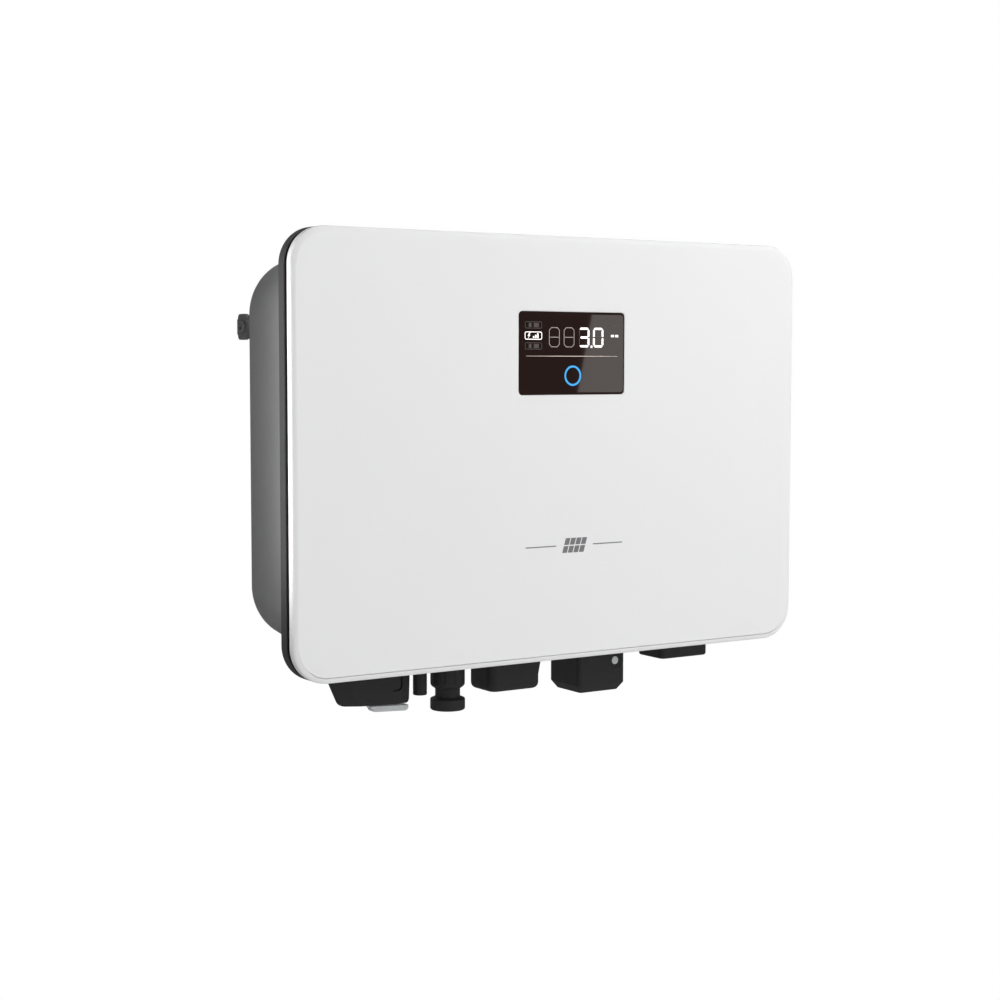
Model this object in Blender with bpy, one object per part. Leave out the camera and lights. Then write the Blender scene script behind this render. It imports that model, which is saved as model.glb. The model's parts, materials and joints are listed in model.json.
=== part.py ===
"""Single-phase string inverter for a house roof: wall-hung die-cast housing, white front
cover, DC switch and plug-in fittings underneath.

Run with: blender --background --python part.py
Metres, +Z up. The front faces -Y. The origin is the centre of the wall bracket's back
face, in the plane of the wall.
"""

import math

import bmesh
import bpy
from mathutils import Vector

MM = 0.001

# ---- driving dimensions, in millimetres -------------------------------------
# Enclosure coordinates: x to the right, y = depth behind the cover's rim, z up from the
# middle of the cover. Names ending in _R are radii.
COVER_W, COVER_H, COVER_R = 320.0, 225.0, 19.0
COVER_FACE_Y = -5.0  # the cover's front face
FRAME_FRONT_Y, FRAME_BACK_Y = 1.9, 9.5
FLANGE_Y0, FLANGE_Y1 = 9.9, 13.5
HOUSING_FLOOR_Y, HOUSING_BACK_Y = 66.0, 71.0  # inner and outer faces of the back wall
HOUSING_ROOT_Y = HOUSING_BACK_Y - 1.0  # fins and lugs start inside the back wall
FIN_TIP_Y = 102.0
WALL_Y = 115.0  # the plane of the wall
BRACKET_Z = 65.0  # middle of the bracket above the middle of the cover
GAP = 0.3  # clearance between mating pieces

# Inset from the cover's outline of the centres of the corner arcs
SEAL_CORNER = 34.0  # seal groove and front of the housing wall
BACK_CORNER = 42.0  # back of the housing

WINDOW_X, WINDOW_Z = 5.3, 51.0
WINDOW_W, WINDOW_H, WINDOW_R = 68.1, 43.6, 2.1

SCREW_X, SCREW_Z = 148.0, 100.5  # cover screws
SCREW_HOLE_R, SHANK_R = 2.3, 1.95
SHELF_Z = -105.0  # underside of the flat shelf that the fittings seat on
SEAT_Z = SHELF_Z - GAP  # top of the fittings' flanges
FIT_Y = 41.0  # depth of the row of fittings

SWITCH_X = -93.3
PV_NEG_X, PV_POS_X = -62.2, -44.8
AC_X = -7.9
VENT_X = 21.0
DONGLE_X, DONGLE_Y = 50.3, 44.0
GROUND_X = 78.0
COM_X = 109.8

TONGUE_X = 50.0
HANGER_SCREW_Z = 60.0  # low enough to pass under the tongues when the unit lifts off
LUG_X0, LUG_X1 = 126.5, 131.2
EAR_X0, EAR_X1 = 131.5, 133.5
SECURITY_Y, SECURITY_Z = 107.2, 65.3

BOARD_Y0, BOARD_Y1 = 50.0, 51.6
BOARD_POSTS = [(-126.0, 76.0), (126.0, 76.0), (122.0, -72.0)]
REST_POST = (-126.0, -38.0)  # the board only rests here, without a screw

SHARP_ANGLE = math.radians(35.0)  # edges bent more than this are shaded sharp
SIDES = (-1, 1)  # left, right

for old in list(bpy.data.objects):
    bpy.data.objects.remove(old, do_unlink=True)

# ---- materials --------------------------------------------------------------
# name: (colour, roughness, metallic)
FINISHES = {
    "cover_white": ((0.86, 0.86, 0.86), 0.35, 0.0),
    "frame_grey": ((0.075, 0.075, 0.078), 0.5, 0.0),
    "housing_grey": ((0.26, 0.26, 0.265), 0.45, 0.6),
    "black_plastic": ((0.018, 0.018, 0.019), 0.5, 0.0),
    "seal_rubber": ((0.01, 0.01, 0.01), 0.7, 0.0),
    "window_black": ((0.012, 0.008, 0.008), 0.08, 0.0),
    "indicator_blue": ((0.1, 0.45, 0.9), 0.3, 0.0),
    "tab_grey": ((0.55, 0.57, 0.58), 0.4, 0.0),
    "bracket_steel": ((0.06, 0.06, 0.062), 0.5, 0.3),
    "screw_steel": ((0.55, 0.55, 0.56), 0.3, 1.0),
    "board_green": ((0.02, 0.12, 0.06), 0.45, 0.0),
    "copper": ((0.75, 0.4, 0.22), 0.3, 1.0),
    "capacitor_sleeve": ((0.03, 0.035, 0.05), 0.35, 0.0),
    "ferrite": ((0.09, 0.09, 0.1), 0.6, 0.0),
    "relay_blue": ((0.06, 0.1, 0.2), 0.4, 0.0),
    "lead_red": ((0.5, 0.03, 0.02), 0.5, 0.0),
    "lead_black": ((0.02, 0.02, 0.02), 0.5, 0.0),
    "ribbon_grey": ((0.5, 0.5, 0.52), 0.6, 0.0),
    "pad_grey": ((0.45, 0.47, 0.52), 0.8, 0.0),
}


def finish_of(name):
    material = bpy.data.materials.get(name)
    if material is None:
        colour, roughness, metallic = FINISHES[name]
        material = bpy.data.materials.new(name)
        material.use_nodes = True
        shader = material.node_tree.nodes["Principled BSDF"]
        shader.inputs["Base Color"].default_value = (*colour, 1.0)
        shader.inputs["Roughness"].default_value = roughness
        shader.inputs["Metallic"].default_value = metallic
    return material


# ---- places -----------------------------------------------------------------
def around(middle, half):
    return (middle - half, middle + half)


def span(side, near, far):
    """The x range from near to far on one side of the middle, in rising order."""
    return tuple(sorted((side * near, side * far)))


def mirrored(x, z):
    """The places (x, z) at left and right."""
    return [(side * x, z) for side in SIDES]


def corners(dx, dz, cx=0.0, cz=0.0):
    """The four places (x, z) at dx and dz either side of (cx, cz)."""
    return [(cx + sx * dx, cz + sz * dz) for sx in SIDES for sz in SIDES]


# ---- skins: closed shapes as bmeshes, in enclosure millimetres ---------------
def rounded(width, height, radius, steps):
    """Points round a rectangle with rounded corners, so many steps a corner."""
    radius = min(radius, width / 2 - 0.01, height / 2 - 0.01)
    points = []
    for quarter, (su, sv) in enumerate(((1, 1), (-1, 1), (-1, -1), (1, -1))):
        for i in range(steps + 1):
            angle = math.pi / 2 * (quarter + i / steps)
            u = su * (width / 2 - radius) + radius * math.cos(angle)
            v = sv * (height / 2 - radius) + radius * math.sin(angle)
            points.append((u, v))
    return points


def ring_y(width, height, radius, y, cx, cz, steps):
    return [Vector((cx + u, y, cz + v)) for u, v in rounded(width, height, radius, steps)]


def ring_z(width, depth, radius, z, cx, cy=FIT_Y, steps=3):
    return [Vector((cx + u, cy + v, z)) for u, v in rounded(width, depth, radius, steps)]


def loft(rings, loop=False):
    """A closed skin over rings of equal length, capped, or joined end to end if loop."""
    bm = bmesh.new()
    rows = [[bm.verts.new(point) for point in ring] for ring in rings]
    pairs = list(zip(rows, rows[1:])) + ([(rows[-1], rows[0])] if loop else [])
    for a, b in pairs:
        for i in range(len(a)):
            j = (i + 1) % len(a)
            bm.faces.new((a[i], a[j], b[j], b[i]))
    if not loop:
        bm.faces.new(rows[0])
        bm.faces.new(list(reversed(rows[-1])))
    bmesh.ops.recalc_face_normals(bm, faces=bm.faces)
    return bm


def loft_inset(stations, loop=False):
    """A skin over rings of the cover's outline brought in.

    Stations are (inset, y) or (inset, y, inset of the corner centres).
    """
    rings = []
    for inset, y, *centre in stations:
        radius = (centre[0] if centre else COVER_R) - inset
        rings.append(ring_y(COVER_W - 2 * inset, COVER_H - 2 * inset, radius, y, 0, 0, 5))
    return loft(rings, loop)


def loft_y(stations, cx, cz, steps):
    """Stations are (width, height, corner radius, y)."""
    return loft([ring_y(*station, cx, cz, steps) for station in stations])


def loft_z(stations, cx, cy=FIT_Y, steps=3, loop=False):
    """Stations are (width, depth, corner radius, z)."""
    return loft([ring_z(*station, cx, cy, steps) for station in stations], loop)


def slab_y(width, height, radius, y0, y1, cx, cz, steps):
    return loft_y([(width, height, radius, y) for y in (y0, y1)], cx, cz, steps)


def slab_z(width, depth, radius, z0, z1, cx, cy=FIT_Y):
    return loft_z([(width, depth, radius, z) for z in (z0, z1)], cx, cy)


def prism_x(outline, x0, x1):
    """The closed outline, of (y, z), run from x0 to x1."""
    return loft([[Vector((x, y, z)) for y, z in outline] for x in (x0, x1)])


def prism_y(outline, y0, y1):
    """The closed outline, of (x, z), run from y0 to y1."""
    return loft([[Vector((x, y, z)) for x, z in outline] for y in (y0, y1)])


def block(x_range, y_range, z_range, bevel=0.0):
    ranges = (x_range, y_range, z_range)
    bm = bmesh.new()
    bmesh.ops.create_cube(bm, size=1.0)
    bmesh.ops.scale(bm, vec=[high - low for low, high in ranges], verts=bm.verts)
    bmesh.ops.translate(bm, vec=[(low + high) / 2 for low, high in ranges], verts=bm.verts)
    if bevel:
        bmesh.ops.bevel(
            bm, geom=bm.edges[:], offset=bevel, segments=2, profile=0.5, affect="EDGES"
        )
    bmesh.ops.recalc_face_normals(bm, faces=bm.faces)
    return bm


def turned(profile, axis, at, steps):
    """The closed profile, of (radius, distance along axis), spun round the axis through at."""
    bm = bmesh.new()
    rows = []
    for radius, along in profile:
        row = []
        for i in range(steps if radius > 1e-6 else 1):
            angle = 2 * math.pi * i / steps
            u, v = radius * math.cos(angle), radius * math.sin(angle)
            point = {"X": (along, u, v), "Y": (u, along, v), "Z": (u, v, along)}[axis]
            row.append(bm.verts.new(Vector(point) + Vector(at)))
        rows.append(row)
    ends_on_axis = len(rows[0]) == 1 and len(rows[-1]) == 1
    pairs = list(zip(rows, rows[1:])) + ([] if ends_on_axis else [(rows[-1], rows[0])])
    for a, b in pairs:
        for i in range(steps):
            j = (i + 1) % steps
            around_face = [a[i % len(a)], a[j % len(a)], b[j % len(b)], b[i % len(b)]]
            unique = list(dict.fromkeys(around_face))
            if len(unique) > 2:
                bm.faces.new(unique)
    bmesh.ops.recalc_face_normals(bm, faces=bm.faces)
    return bm


def turned_y(profile, x, z, steps):
    return turned(profile, "Y", (x, 0, z), steps)


def turned_z(profile, x, steps):
    """A turned skin on the vertical axis at x in the row of fittings."""
    return turned(profile, "Z", (x, FIT_Y, 0), steps)


def rod(radius, start, end, axis, at, steps):
    return turned([(0, start), (radius, start), (radius, end), (0, end)], axis, at, steps)


def rods_y(places, radius, y0, y1, steps):
    return [rod(radius, y0, y1, "Y", (x, 0, z), steps) for x, z in places]


def rod_z(radius, z0, z1, x, steps):
    return rod(radius, z0, z1, "Z", (x, FIT_Y, 0), steps)


def chamfered_rod_z(radius, z0, z1, x, steps, chamfer):
    neck = radius - chamfer
    profile = [(0, z0), (neck, z0), (radius, z0 + chamfer), (radius, z1 - chamfer), (neck, z1), (0, z1)]
    return turned_z(profile, x, steps)


def together(shapes):
    """Several separate skins in one bmesh, for a tool that works in many places."""
    mesh = bpy.data.meshes.new("gathered")
    bm = bmesh.new()
    for shape in shapes:
        shape.to_mesh(mesh)
        bm.from_mesh(mesh)
        shape.free()
    bpy.data.meshes.remove(mesh)
    return bm


# ---- objects ----------------------------------------------------------------
enclosure = bpy.data.objects.new("enclosure", None)
enclosure.location = (0.0, -WALL_Y * MM, -BRACKET_Z * MM)
bpy.context.scene.collection.objects.link(enclosure)


def place(name, bm, origin):
    bmesh.ops.translate(bm, vec=-Vector(origin), verts=bm.verts)
    bmesh.ops.scale(bm, vec=(MM, MM, MM), verts=bm.verts)
    mesh = bpy.data.meshes.new(name)
    bm.to_mesh(mesh)
    bm.free()
    made = bpy.data.objects.new(name, mesh)
    made.location = Vector(origin) * MM
    made.parent = enclosure
    bpy.context.scene.collection.objects.link(made)
    return made


def solid(name, bm, finish, origin=(0.0, 0.0, 0.0)):
    made = place(name, bm, origin)
    made.data.materials.append(finish_of(finish))
    made.data.shade_smooth()
    made.data.set_sharp_from_angle(angle=SHARP_ANGLE)
    return made


def fitting(name, profile, x, steps, finish, origin_z=SEAT_Z):
    """A turned piece in the row of fittings; its profile is of (radius, z)."""
    return solid(name, turned_z(profile, x, steps), finish, (x, FIT_Y, origin_z))


def boolean(piece, kind, shapes):
    helper_name = f"{piece.name}_{kind.lower()}_{len(piece.modifiers)}"
    helper = place(helper_name, together(shapes), (0.0, 0.0, 0.0))
    helper.hide_render = True
    helper.display_type = "WIRE"
    modifier = piece.modifiers.new(kind.title(), "BOOLEAN")
    modifier.operation = kind
    modifier.object = helper
    modifier.solver = "EXACT"


def cut(piece, *shapes):
    boolean(piece, "DIFFERENCE", shapes)


def add(piece, *shapes):
    boolean(piece, "UNION", shapes)


def screw(
    name, axis, at, seat, toward_tip, head_r, head_h, shank_r, length,
    socket_r=1.6, finish="screw_steel",
):
    """A pan-head screw on the axis through at.

    seat is the underside of its head along the axis; toward_tip (1 or -1) is its direction.
    """

    def above(height):
        return seat - toward_tip * height

    profile = [
        (0, above(-length)),
        (shank_r - 0.4, above(-length)),
        (shank_r, above(0.6 - length)),
        (shank_r, seat),
        (head_r, seat),
        (head_r, above(head_h * 0.55)),
        (head_r * 0.72, above(head_h)),
        (socket_r, above(head_h)),
        (socket_r, above(head_h * 0.35)),
        (0, above(head_h * 0.35)),
    ]
    origin = list(at)
    origin["XYZ".index(axis)] = seat
    solid(name, turned(profile, axis, at, 12), finish, origin)


def cable(name, points, radius, finish):
    """A round insulated lead through points, as a bevelled curve with filled caps."""
    curve = bpy.data.curves.new(name, "CURVE")
    curve.dimensions = "3D"
    curve.resolution_u = 3
    curve.bevel_depth = radius * MM
    curve.bevel_resolution = 1
    curve.use_fill_caps = True
    spline = curve.splines.new("BEZIER")
    spline.bezier_points.add(len(points) - 1)
    for knot, point in zip(spline.bezier_points, points):
        knot.co = Vector(point) * MM
        knot.handle_left_type = knot.handle_right_type = "AUTO"
    made = bpy.data.objects.new(name, curve)
    made.parent = enclosure
    curve.materials.append(finish_of(finish))
    bpy.context.scene.collection.objects.link(made)


# ---- front cover, its seal and the frame --------------------------------------
COVER_STUDS = corners(128, 82)
COVER_SCREWS = corners(SCREW_X, SCREW_Z)
DISPLAY_BOSSES = corners(39.5, 25.5, WINDOW_X, WINDOW_Z)

COVER_STATIONS = [  # inset, y: from the recess in its back, round the rim, to the face
    (2.6, -2.5),
    (2.6, -0.1),
    (0.0, -0.1),
    (0.0, COVER_FACE_Y + 1.4),
    (0.3, COVER_FACE_Y + 0.9),
    (1.2, COVER_FACE_Y + 0.35),
    (2.6, COVER_FACE_Y),
]
COVER_STUD = [(0, -3.2), (4.5, -3.2), (4.0, 1.5), (0, 1.5)]  # radius, y

front_cover = solid("front_cover", loft_inset(COVER_STATIONS), "cover_white")
add(front_cover, *[turned_y(COVER_STUD, x, z, 10) for x, z in COVER_STUDS])
cut(
    front_cover,
    slab_y(
        WINDOW_W + 2 * GAP, WINDOW_H + 2 * GAP, WINDOW_R + GAP, -6.0, 0.5, WINDOW_X, WINDOW_Z, 4
    ),
)

COVER_SEAL_STATIONS = [(0.5, 0.2), (0.5, 2.7), (5.0, 2.7), (5.0, 0.2)]  # inset, y
solid("cover_seal", loft_inset(COVER_SEAL_STATIONS, loop=True), "seal_rubber")

SEAL_GROOVE_Y = FRAME_BACK_Y - 1.9
FRAME_STATIONS = [  # inset, y, inset of corner centres: round the outside, groove, recess
    (5.4, FRAME_FRONT_Y),
    (5.4, FRAME_FRONT_Y + 1.1),
    (0.5, FRAME_FRONT_Y + 1.1),
    (0.0, FRAME_FRONT_Y + 1.6),
    (0.0, FRAME_BACK_Y - 0.6),
    (0.6, FRAME_BACK_Y),
    (8.6, FRAME_BACK_Y, SEAL_CORNER),
    (8.6, SEAL_GROOVE_Y, SEAL_CORNER),
    (11.0, SEAL_GROOVE_Y, SEAL_CORNER),
    (11.0, FRAME_BACK_Y, SEAL_CORNER),
    (14.0, FRAME_BACK_Y, SEAL_CORNER),
    (14.0, 4.4, SEAL_CORNER),
]
front_frame = solid("front_frame", loft_inset(FRAME_STATIONS), "frame_grey")
add(front_frame, *rods_y(DISPLAY_BOSSES, 2.6, 4.0, 5.2, 8))
cut(
    front_frame,
    slab_y(66.0, 41.0, 2.0, 1.0, 6.0, WINDOW_X, WINDOW_Z, 3),
    *rods_y(COVER_SCREWS, SCREW_HOLE_R, 4.9, 10.4, 10),
)

# ---- display ------------------------------------------------------------------
WINDOW_FACE_Y = COVER_FACE_Y + 0.15
WINDOW_STATIONS = [  # width, height, corner radius, y: flange behind the cover, then pane
    (74.0, 49.0, 3.5, -0.8),
    (74.0, 49.0, 3.5, -2.2),
    (WINDOW_W, WINDOW_H, WINDOW_R, -2.2),
    (WINDOW_W, WINDOW_H, WINDOW_R, WINDOW_FACE_Y + 0.2),
    (WINDOW_W - 0.4, WINDOW_H - 0.4, WINDOW_R - 0.2, WINDOW_FACE_Y),
]
solid(
    "display_window",
    loft_y(WINDOW_STATIONS, WINDOW_X, WINDOW_Z, 4),
    "window_black",
    (WINDOW_X, WINDOW_FACE_Y, WINDOW_Z),
)

DISPLAY_PARTS_Y0 = -0.4  # front of the digits and of the light guide
DIGITS_Z, DIGITS_BACK_Y = 59.0, 5.2
solid(
    "digit_module",
    block(around(WINDOW_X, 30), (DISPLAY_PARTS_Y0, DIGITS_BACK_Y), around(DIGITS_Z, 11), 0.5),
    "black_plastic",
    (WINDOW_X, DIGITS_BACK_Y, DIGITS_Z),
)

GUIDE_X, GUIDE_Z, GUIDE_BACK_Y = 5.6, 39.2, 5.1
GUIDE = [  # radius, y
    (4.3, DISPLAY_PARTS_Y0), (5.5, DISPLAY_PARTS_Y0), (5.5, GUIDE_BACK_Y), (4.3, GUIDE_BACK_Y),
]
solid(
    "indicator_light_guide",
    turned_y(GUIDE, GUIDE_X, GUIDE_Z, 24),
    "indicator_blue",
    (GUIDE_X, GUIDE_BACK_Y, GUIDE_Z),
)

DISPLAY_BOARD_Y0, DISPLAY_BOARD_Y1 = 5.5, 7.1
display_board = solid(
    "display_board",
    slab_y(84.0, 56.0, 2.5, DISPLAY_BOARD_Y0, DISPLAY_BOARD_Y1, WINDOW_X, WINDOW_Z, 3),
    "board_green",
    (WINDOW_X, DISPLAY_BOARD_Y0, WINDOW_Z),
)
cut(
    display_board,
    *rods_y(DISPLAY_BOSSES, 1.2, DISPLAY_BOARD_Y0 - 0.5, DISPLAY_BOARD_Y1 + 0.5, 8),
)

# ---- housing: one aluminium die casting with its fins ------------------------
FIN_COUNT, FIN_PITCH = 23, 10.2
SHELF_X, SHELF_Y = 1.0, 42.0
STAND_OFFS = mirrored(91.8, -74.0)
SLOT_R = 2.5
THROUGH_SHELF = (-108.0, -92.0)  # z range that cuts right through the shelf

HOUSING_STATIONS = [  # inset, y, inset of corner centres: cavity floor, flange, outside
    (15.6, HOUSING_FLOOR_Y, BACK_CORNER),
    (11.2, FLANGE_Y0, SEAL_CORNER),
    (3.5, FLANGE_Y0),
    (3.5, FLANGE_Y1),
    (7.4, FLANGE_Y1, SEAL_CORNER),
    (8.1, FLANGE_Y1 + 1.6, SEAL_CORNER),
    (12.4, HOUSING_BACK_Y - 2.4, BACK_CORNER),
    (13.1, HOUSING_BACK_Y - 0.7, BACK_CORNER),
    (14.8, HOUSING_BACK_Y, BACK_CORNER),
]
FIN_STATIONS = [  # y, half thickness, half height
    (HOUSING_ROOT_Y, 1.3, 86.0),
    (FIN_TIP_Y - 3.0, 1.0, 85.0),
    (FIN_TIP_Y, 1.0, 81.0),
]
SHELF_STATIONS = [  # width, depth, corner radius, z
    (258.0, 36.0, 6.0, -100.5),
    (258.0, 36.0, 6.0, SHELF_Z + 1.0),
    (256.0, 34.0, 5.0, SHELF_Z),
]
STAND_OFF = [(0, 70), (6.5, 70), (5.5, 113.7), (4.5, 114.7), (0, 114.7)]  # radius, y
ROUND_OPENINGS = [  # radius, x, steps
    (4.6, SWITCH_X, 12),
    (5.5, PV_NEG_X, 16),
    (6.5, PV_POS_X, 16),
    (4.1, VENT_X, 16),
    (SCREW_HOLE_R, GROUND_X, 12),
]
OBLONG_OPENINGS = [  # width, depth, corner radius, x, y
    (22.0, 13.0, 3.4, AC_X, FIT_Y),
    (19.0, 11.0, 2.4, DONGLE_X, DONGLE_Y),
    (17.0, 13.0, 2.4, COM_X, FIT_Y),
]


def fin(x):
    rings = []
    for y, half_thick, half_high in FIN_STATIONS:
        signs = ((1, 1), (-1, 1), (-1, -1), (1, -1))
        rings.append([Vector((x + u * half_thick, y, v * half_high)) for u, v in signs])
    return loft(rings)


def security_slot():
    """Outline, of (y, z), of a slot with a round top that is open downwards."""
    angles = [math.pi * i / 6 for i in range(7)]
    arc = [
        (SECURITY_Y + SLOT_R * math.cos(angle), SECURITY_Z + SLOT_R * math.sin(angle))
        for angle in angles
    ]
    return arc + [(SECURITY_Y - SLOT_R, 50.0), (SECURITY_Y + SLOT_R, 50.0)]


rear_housing = solid(
    "rear_housing", loft_inset(HOUSING_STATIONS), "housing_grey", (0.0, HOUSING_BACK_Y, 0.0)
)
add(rear_housing, *[fin(FIN_PITCH * (i - (FIN_COUNT - 1) / 2)) for i in range(FIN_COUNT)])
add(
    rear_housing,
    # shelf over the row of fittings
    loft_z(SHELF_STATIONS, SHELF_X, SHELF_Y, steps=4),
    # lugs beside the bracket's ears
    *[
        block(span(side, LUG_X0, LUG_X1), (HOUSING_ROOT_Y, 112.0), (58.8, 71.8), 0.8)
        for side in SIDES
    ],
    # posts that carry the power board
    *rods_y(BOARD_POSTS + [REST_POST], 4.2, BOARD_Y1 + GAP, HOUSING_FLOOR_Y + 1.0, 10),
)
add(
    rear_housing,
    # pads behind the hanger screws, and stand-off posts towards the wall
    *[
        block(around(side * TONGUE_X, 14), (HOUSING_ROOT_Y, FIN_TIP_Y), (53.0, 80.0))
        for side in SIDES
    ],
    *[turned_y(STAND_OFF, x, z, 16) for x, z in STAND_OFFS],
)
cut(
    rear_housing,
    *rods_y(COVER_SCREWS, SCREW_HOLE_R, 9.0, 14.5, 10),
    *rods_y(BOARD_POSTS, 1.7, BOARD_Y1, BOARD_Y1 + 9, 10),
    *rods_y(mirrored(TONGUE_X, HANGER_SCREW_Z), SCREW_HOLE_R, 90.0, FIN_TIP_Y + 1, 12),
    # slots in the lugs that drop over the security screws
    *[prism_x(security_slot(), *span(side, LUG_X0 - 2, LUG_X1 + 2)) for side in SIDES],
    *[rod_z(radius, *THROUGH_SHELF, x, steps) for radius, x, steps in ROUND_OPENINGS],
    *[
        slab_z(width, depth, radius, *THROUGH_SHELF, x, y)
        for width, depth, radius, x, y in OBLONG_OPENINGS
    ],
)

HOUSING_SEAL_STATIONS = [  # inset, y, inset of corner centres
    (8.9, 7.9, SEAL_CORNER),
    (8.9, 9.6, SEAL_CORNER),
    (10.7, 9.6, SEAL_CORNER),
    (10.7, 7.9, SEAL_CORNER),
]
solid("housing_seal", loft_inset(HOUSING_SEAL_STATIONS, loop=True), "seal_rubber")

# cover screws, from behind the flange, clockwise from top left as seen from the front
for n, (sx, sz) in enumerate(((-1, 1), (1, 1), (1, -1), (-1, -1)), 1):
    screw(
        f"cover_screw_{n}", "Y", (sx * SCREW_X, 0, sz * SCREW_Z), FLANGE_Y1 + GAP, -1,
        head_r=3.5, head_h=2.6, shank_r=SHANK_R, length=8.4,
    )

# ---- wall bracket, hanger and their screws -----------------------------------
EAR_ARM_Z0, EAR_ARM_Z1 = 61.2, 69.4
PLATE_Z0, PLATE_Z1 = around(BRACKET_Z, 15.0)
PLATE = [  # x, z
    (-EAR_X1, EAR_ARM_Z0), (-124.0, EAR_ARM_Z0), (-118.0, PLATE_Z0),
    (118.0, PLATE_Z0), (124.0, EAR_ARM_Z0), (EAR_X1, EAR_ARM_Z0),
    (EAR_X1, EAR_ARM_Z1), (124.0, EAR_ARM_Z1), (118.0, PLATE_Z1),
    (-118.0, PLATE_Z1), (-124.0, EAR_ARM_Z1), (-EAR_X1, EAR_ARM_Z1),
]
EAR = [(109.1 + u, SECURITY_Z + v) for u, v in rounded(11.0, 14.0, 2.8, 3)]  # y, z
TONGUE = [  # y, z: out from the plate and up
    (113.5, 77.5), (105.6, 77.5), (105.0, 78.1), (105.0, 89.4), (105.6, 90.0),
    (107.1, 90.0), (107.5, 89.6), (107.5, 79.7), (113.5, 79.7),
]
THROUGH_PLATE = (111.0, 117.0)  # y range

wall_bracket = solid(
    "wall_bracket", prism_y(PLATE, 112.5, WALL_Y), "bracket_steel", (0.0, WALL_Y, BRACKET_Z)
)
add(
    wall_bracket,
    *[prism_x(EAR, *span(side, EAR_X0, EAR_X1 - 0.2)) for side in SIDES],
    *[prism_x(TONGUE, *around(side * TONGUE_X, 18)) for side in SIDES],
)
cut(
    wall_bracket,
    *[slab_y(12.0, 6.4, 3.2, *THROUGH_PLATE, x, z, 5) for x, z in mirrored(98.0, BRACKET_Z)],
    *rods_y(mirrored(22.0, BRACKET_Z), 3.2, *THROUGH_PLATE, 18),
    *[
        rod(2.2, *span(side, 130, 136), "X", (0, SECURITY_Y, SECURITY_Z), 16)
        for side in SIDES
    ],
)

RAIL_FRONT_Y, RAIL_BACK_Y, RAIL_HOOK_Z = 102.3, 104.3, 90.3
RAIL = [  # y, z: upright sheet with a hook over the tongues
    (RAIL_FRONT_Y, 54.0), (RAIL_BACK_Y, 54.0), (RAIL_BACK_Y, RAIL_HOOK_Z),
    (109.0, RAIL_HOOK_Z), (109.0, 81.5), (111.0, 81.5), (111.0, 91.5),
    (110.2, 92.3), (103.1, 92.3), (RAIL_FRONT_Y, 91.5),
]
hanger_rail = solid(
    "hanger_rail", prism_x(RAIL, -80.0, 80.0), "bracket_steel", (0.0, RAIL_FRONT_Y, RAIL_HOOK_Z)
)
cut(
    hanger_rail,
    *rods_y(mirrored(TONGUE_X, HANGER_SCREW_Z), SCREW_HOLE_R, 101.0, 105.5, 12),
    block((-24.0, 24.0), (100.0, 113.0), (50.0, 84.0)),
)

for side, label in ((-1, "left"), (1, "right")):
    screw(
        f"hanger_screw_{label}", "Y", (side * TONGUE_X, 0, HANGER_SCREW_Z), RAIL_BACK_Y + GAP, -1,
        head_r=3.6, head_h=2.4, shank_r=SHANK_R, length=12.0,
    )
    screw(
        f"security_screw_{label}", "X", (0, SECURITY_Y, SECURITY_Z), side * (EAR_X1 + GAP), -side,
        head_r=2.9, head_h=1.5, shank_r=1.9, length=9.0, finish="bracket_steel",
    )

# ---- DC switch ---------------------------------------------------------------
HANDLE_TOP_Z = -108.2
SHAFT_END_Z = -114.2
SWITCH_BODY_Z0 = -96.6

SWITCH_RING = [  # radius, z
    (4.6, -107.8), (15.8, -107.8), (17.0, -106.6), (17.0, SEAT_Z), (4.6, SEAT_Z),
]
fitting("dc_switch_ring", SWITCH_RING, SWITCH_X, 24, "black_plastic")

HANDLE_DISC = [  # radius, z
    (0, -112.4), (15.0, -112.4), (16.0, -111.4), (16.0, HANDLE_TOP_Z), (0, HANDLE_TOP_Z),
]
GRIP_STATIONS = [  # z, reach to left and right of the axis, thickness, end thickness, fall
    (-110.6, 26.6, 24.2, 11.0, 4.4, 0.0),
    (-116.0, 26.1, 24.0, 11.0, 4.2, 0.0),
    (-132.1, 18.9, 23.6, 9.8, 3.6, 1.6),
    (-133.5, 17.6, 23.2, 9.0, 3.0, 1.6),
    (-134.1, 15.9, 22.4, 7.8, 2.4, 1.6),
]


def grip_ring(z, left, right, thickness, end_thickness, fall):
    """A ring round the grip: tapered at both ends, and lower by fall at its right end."""
    half, end = thickness / 2, end_thickness / 2
    points = [
        (-left, -end), (-left + 9, -half), (right - 7, -half), (right, -end),
        (right, end), (right - 7, half), (-left + 9, half), (-left, end),
    ]
    return [
        Vector((SWITCH_X + u, FIT_Y + v, z - fall * (u + left) / (left + right)))
        for u, v in points
    ]


handle = solid(
    "dc_switch_handle",
    loft([grip_ring(*station) for station in GRIP_STATIONS]),
    "black_plastic",
    (SWITCH_X, FIT_Y, HANDLE_TOP_Z),
)
add(handle, turned_z(HANDLE_DISC, SWITCH_X, 24))
# bore for the shaft, and slot for the lock tab
cut(
    handle,
    rod_z(4.3, -114.6, -107.0, SWITCH_X, 12),
    block((SWITCH_X - 0.9, SWITCH_X + 20.9), around(FIT_Y, 2.2), (-137.0, -119.0)),
)

solid(
    "dc_switch_shaft",
    chamfered_rod_z(4.0, SHAFT_END_Z, -91.4, SWITCH_X, 12, 0.6),
    "screw_steel",
    (SWITCH_X, FIT_Y, SHAFT_END_Z),
)
switch_body = solid(
    "dc_switch_body",
    block(around(SWITCH_X, 18), around(FIT_Y, 18), (SWITCH_BODY_Z0, -55.0), 1.5),
    "black_plastic",
    (SWITCH_X, FIT_Y, SWITCH_BODY_Z0),
)
cut(switch_body, rod_z(4.5, -98.0, -90.6, SWITCH_X, 12))

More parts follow.
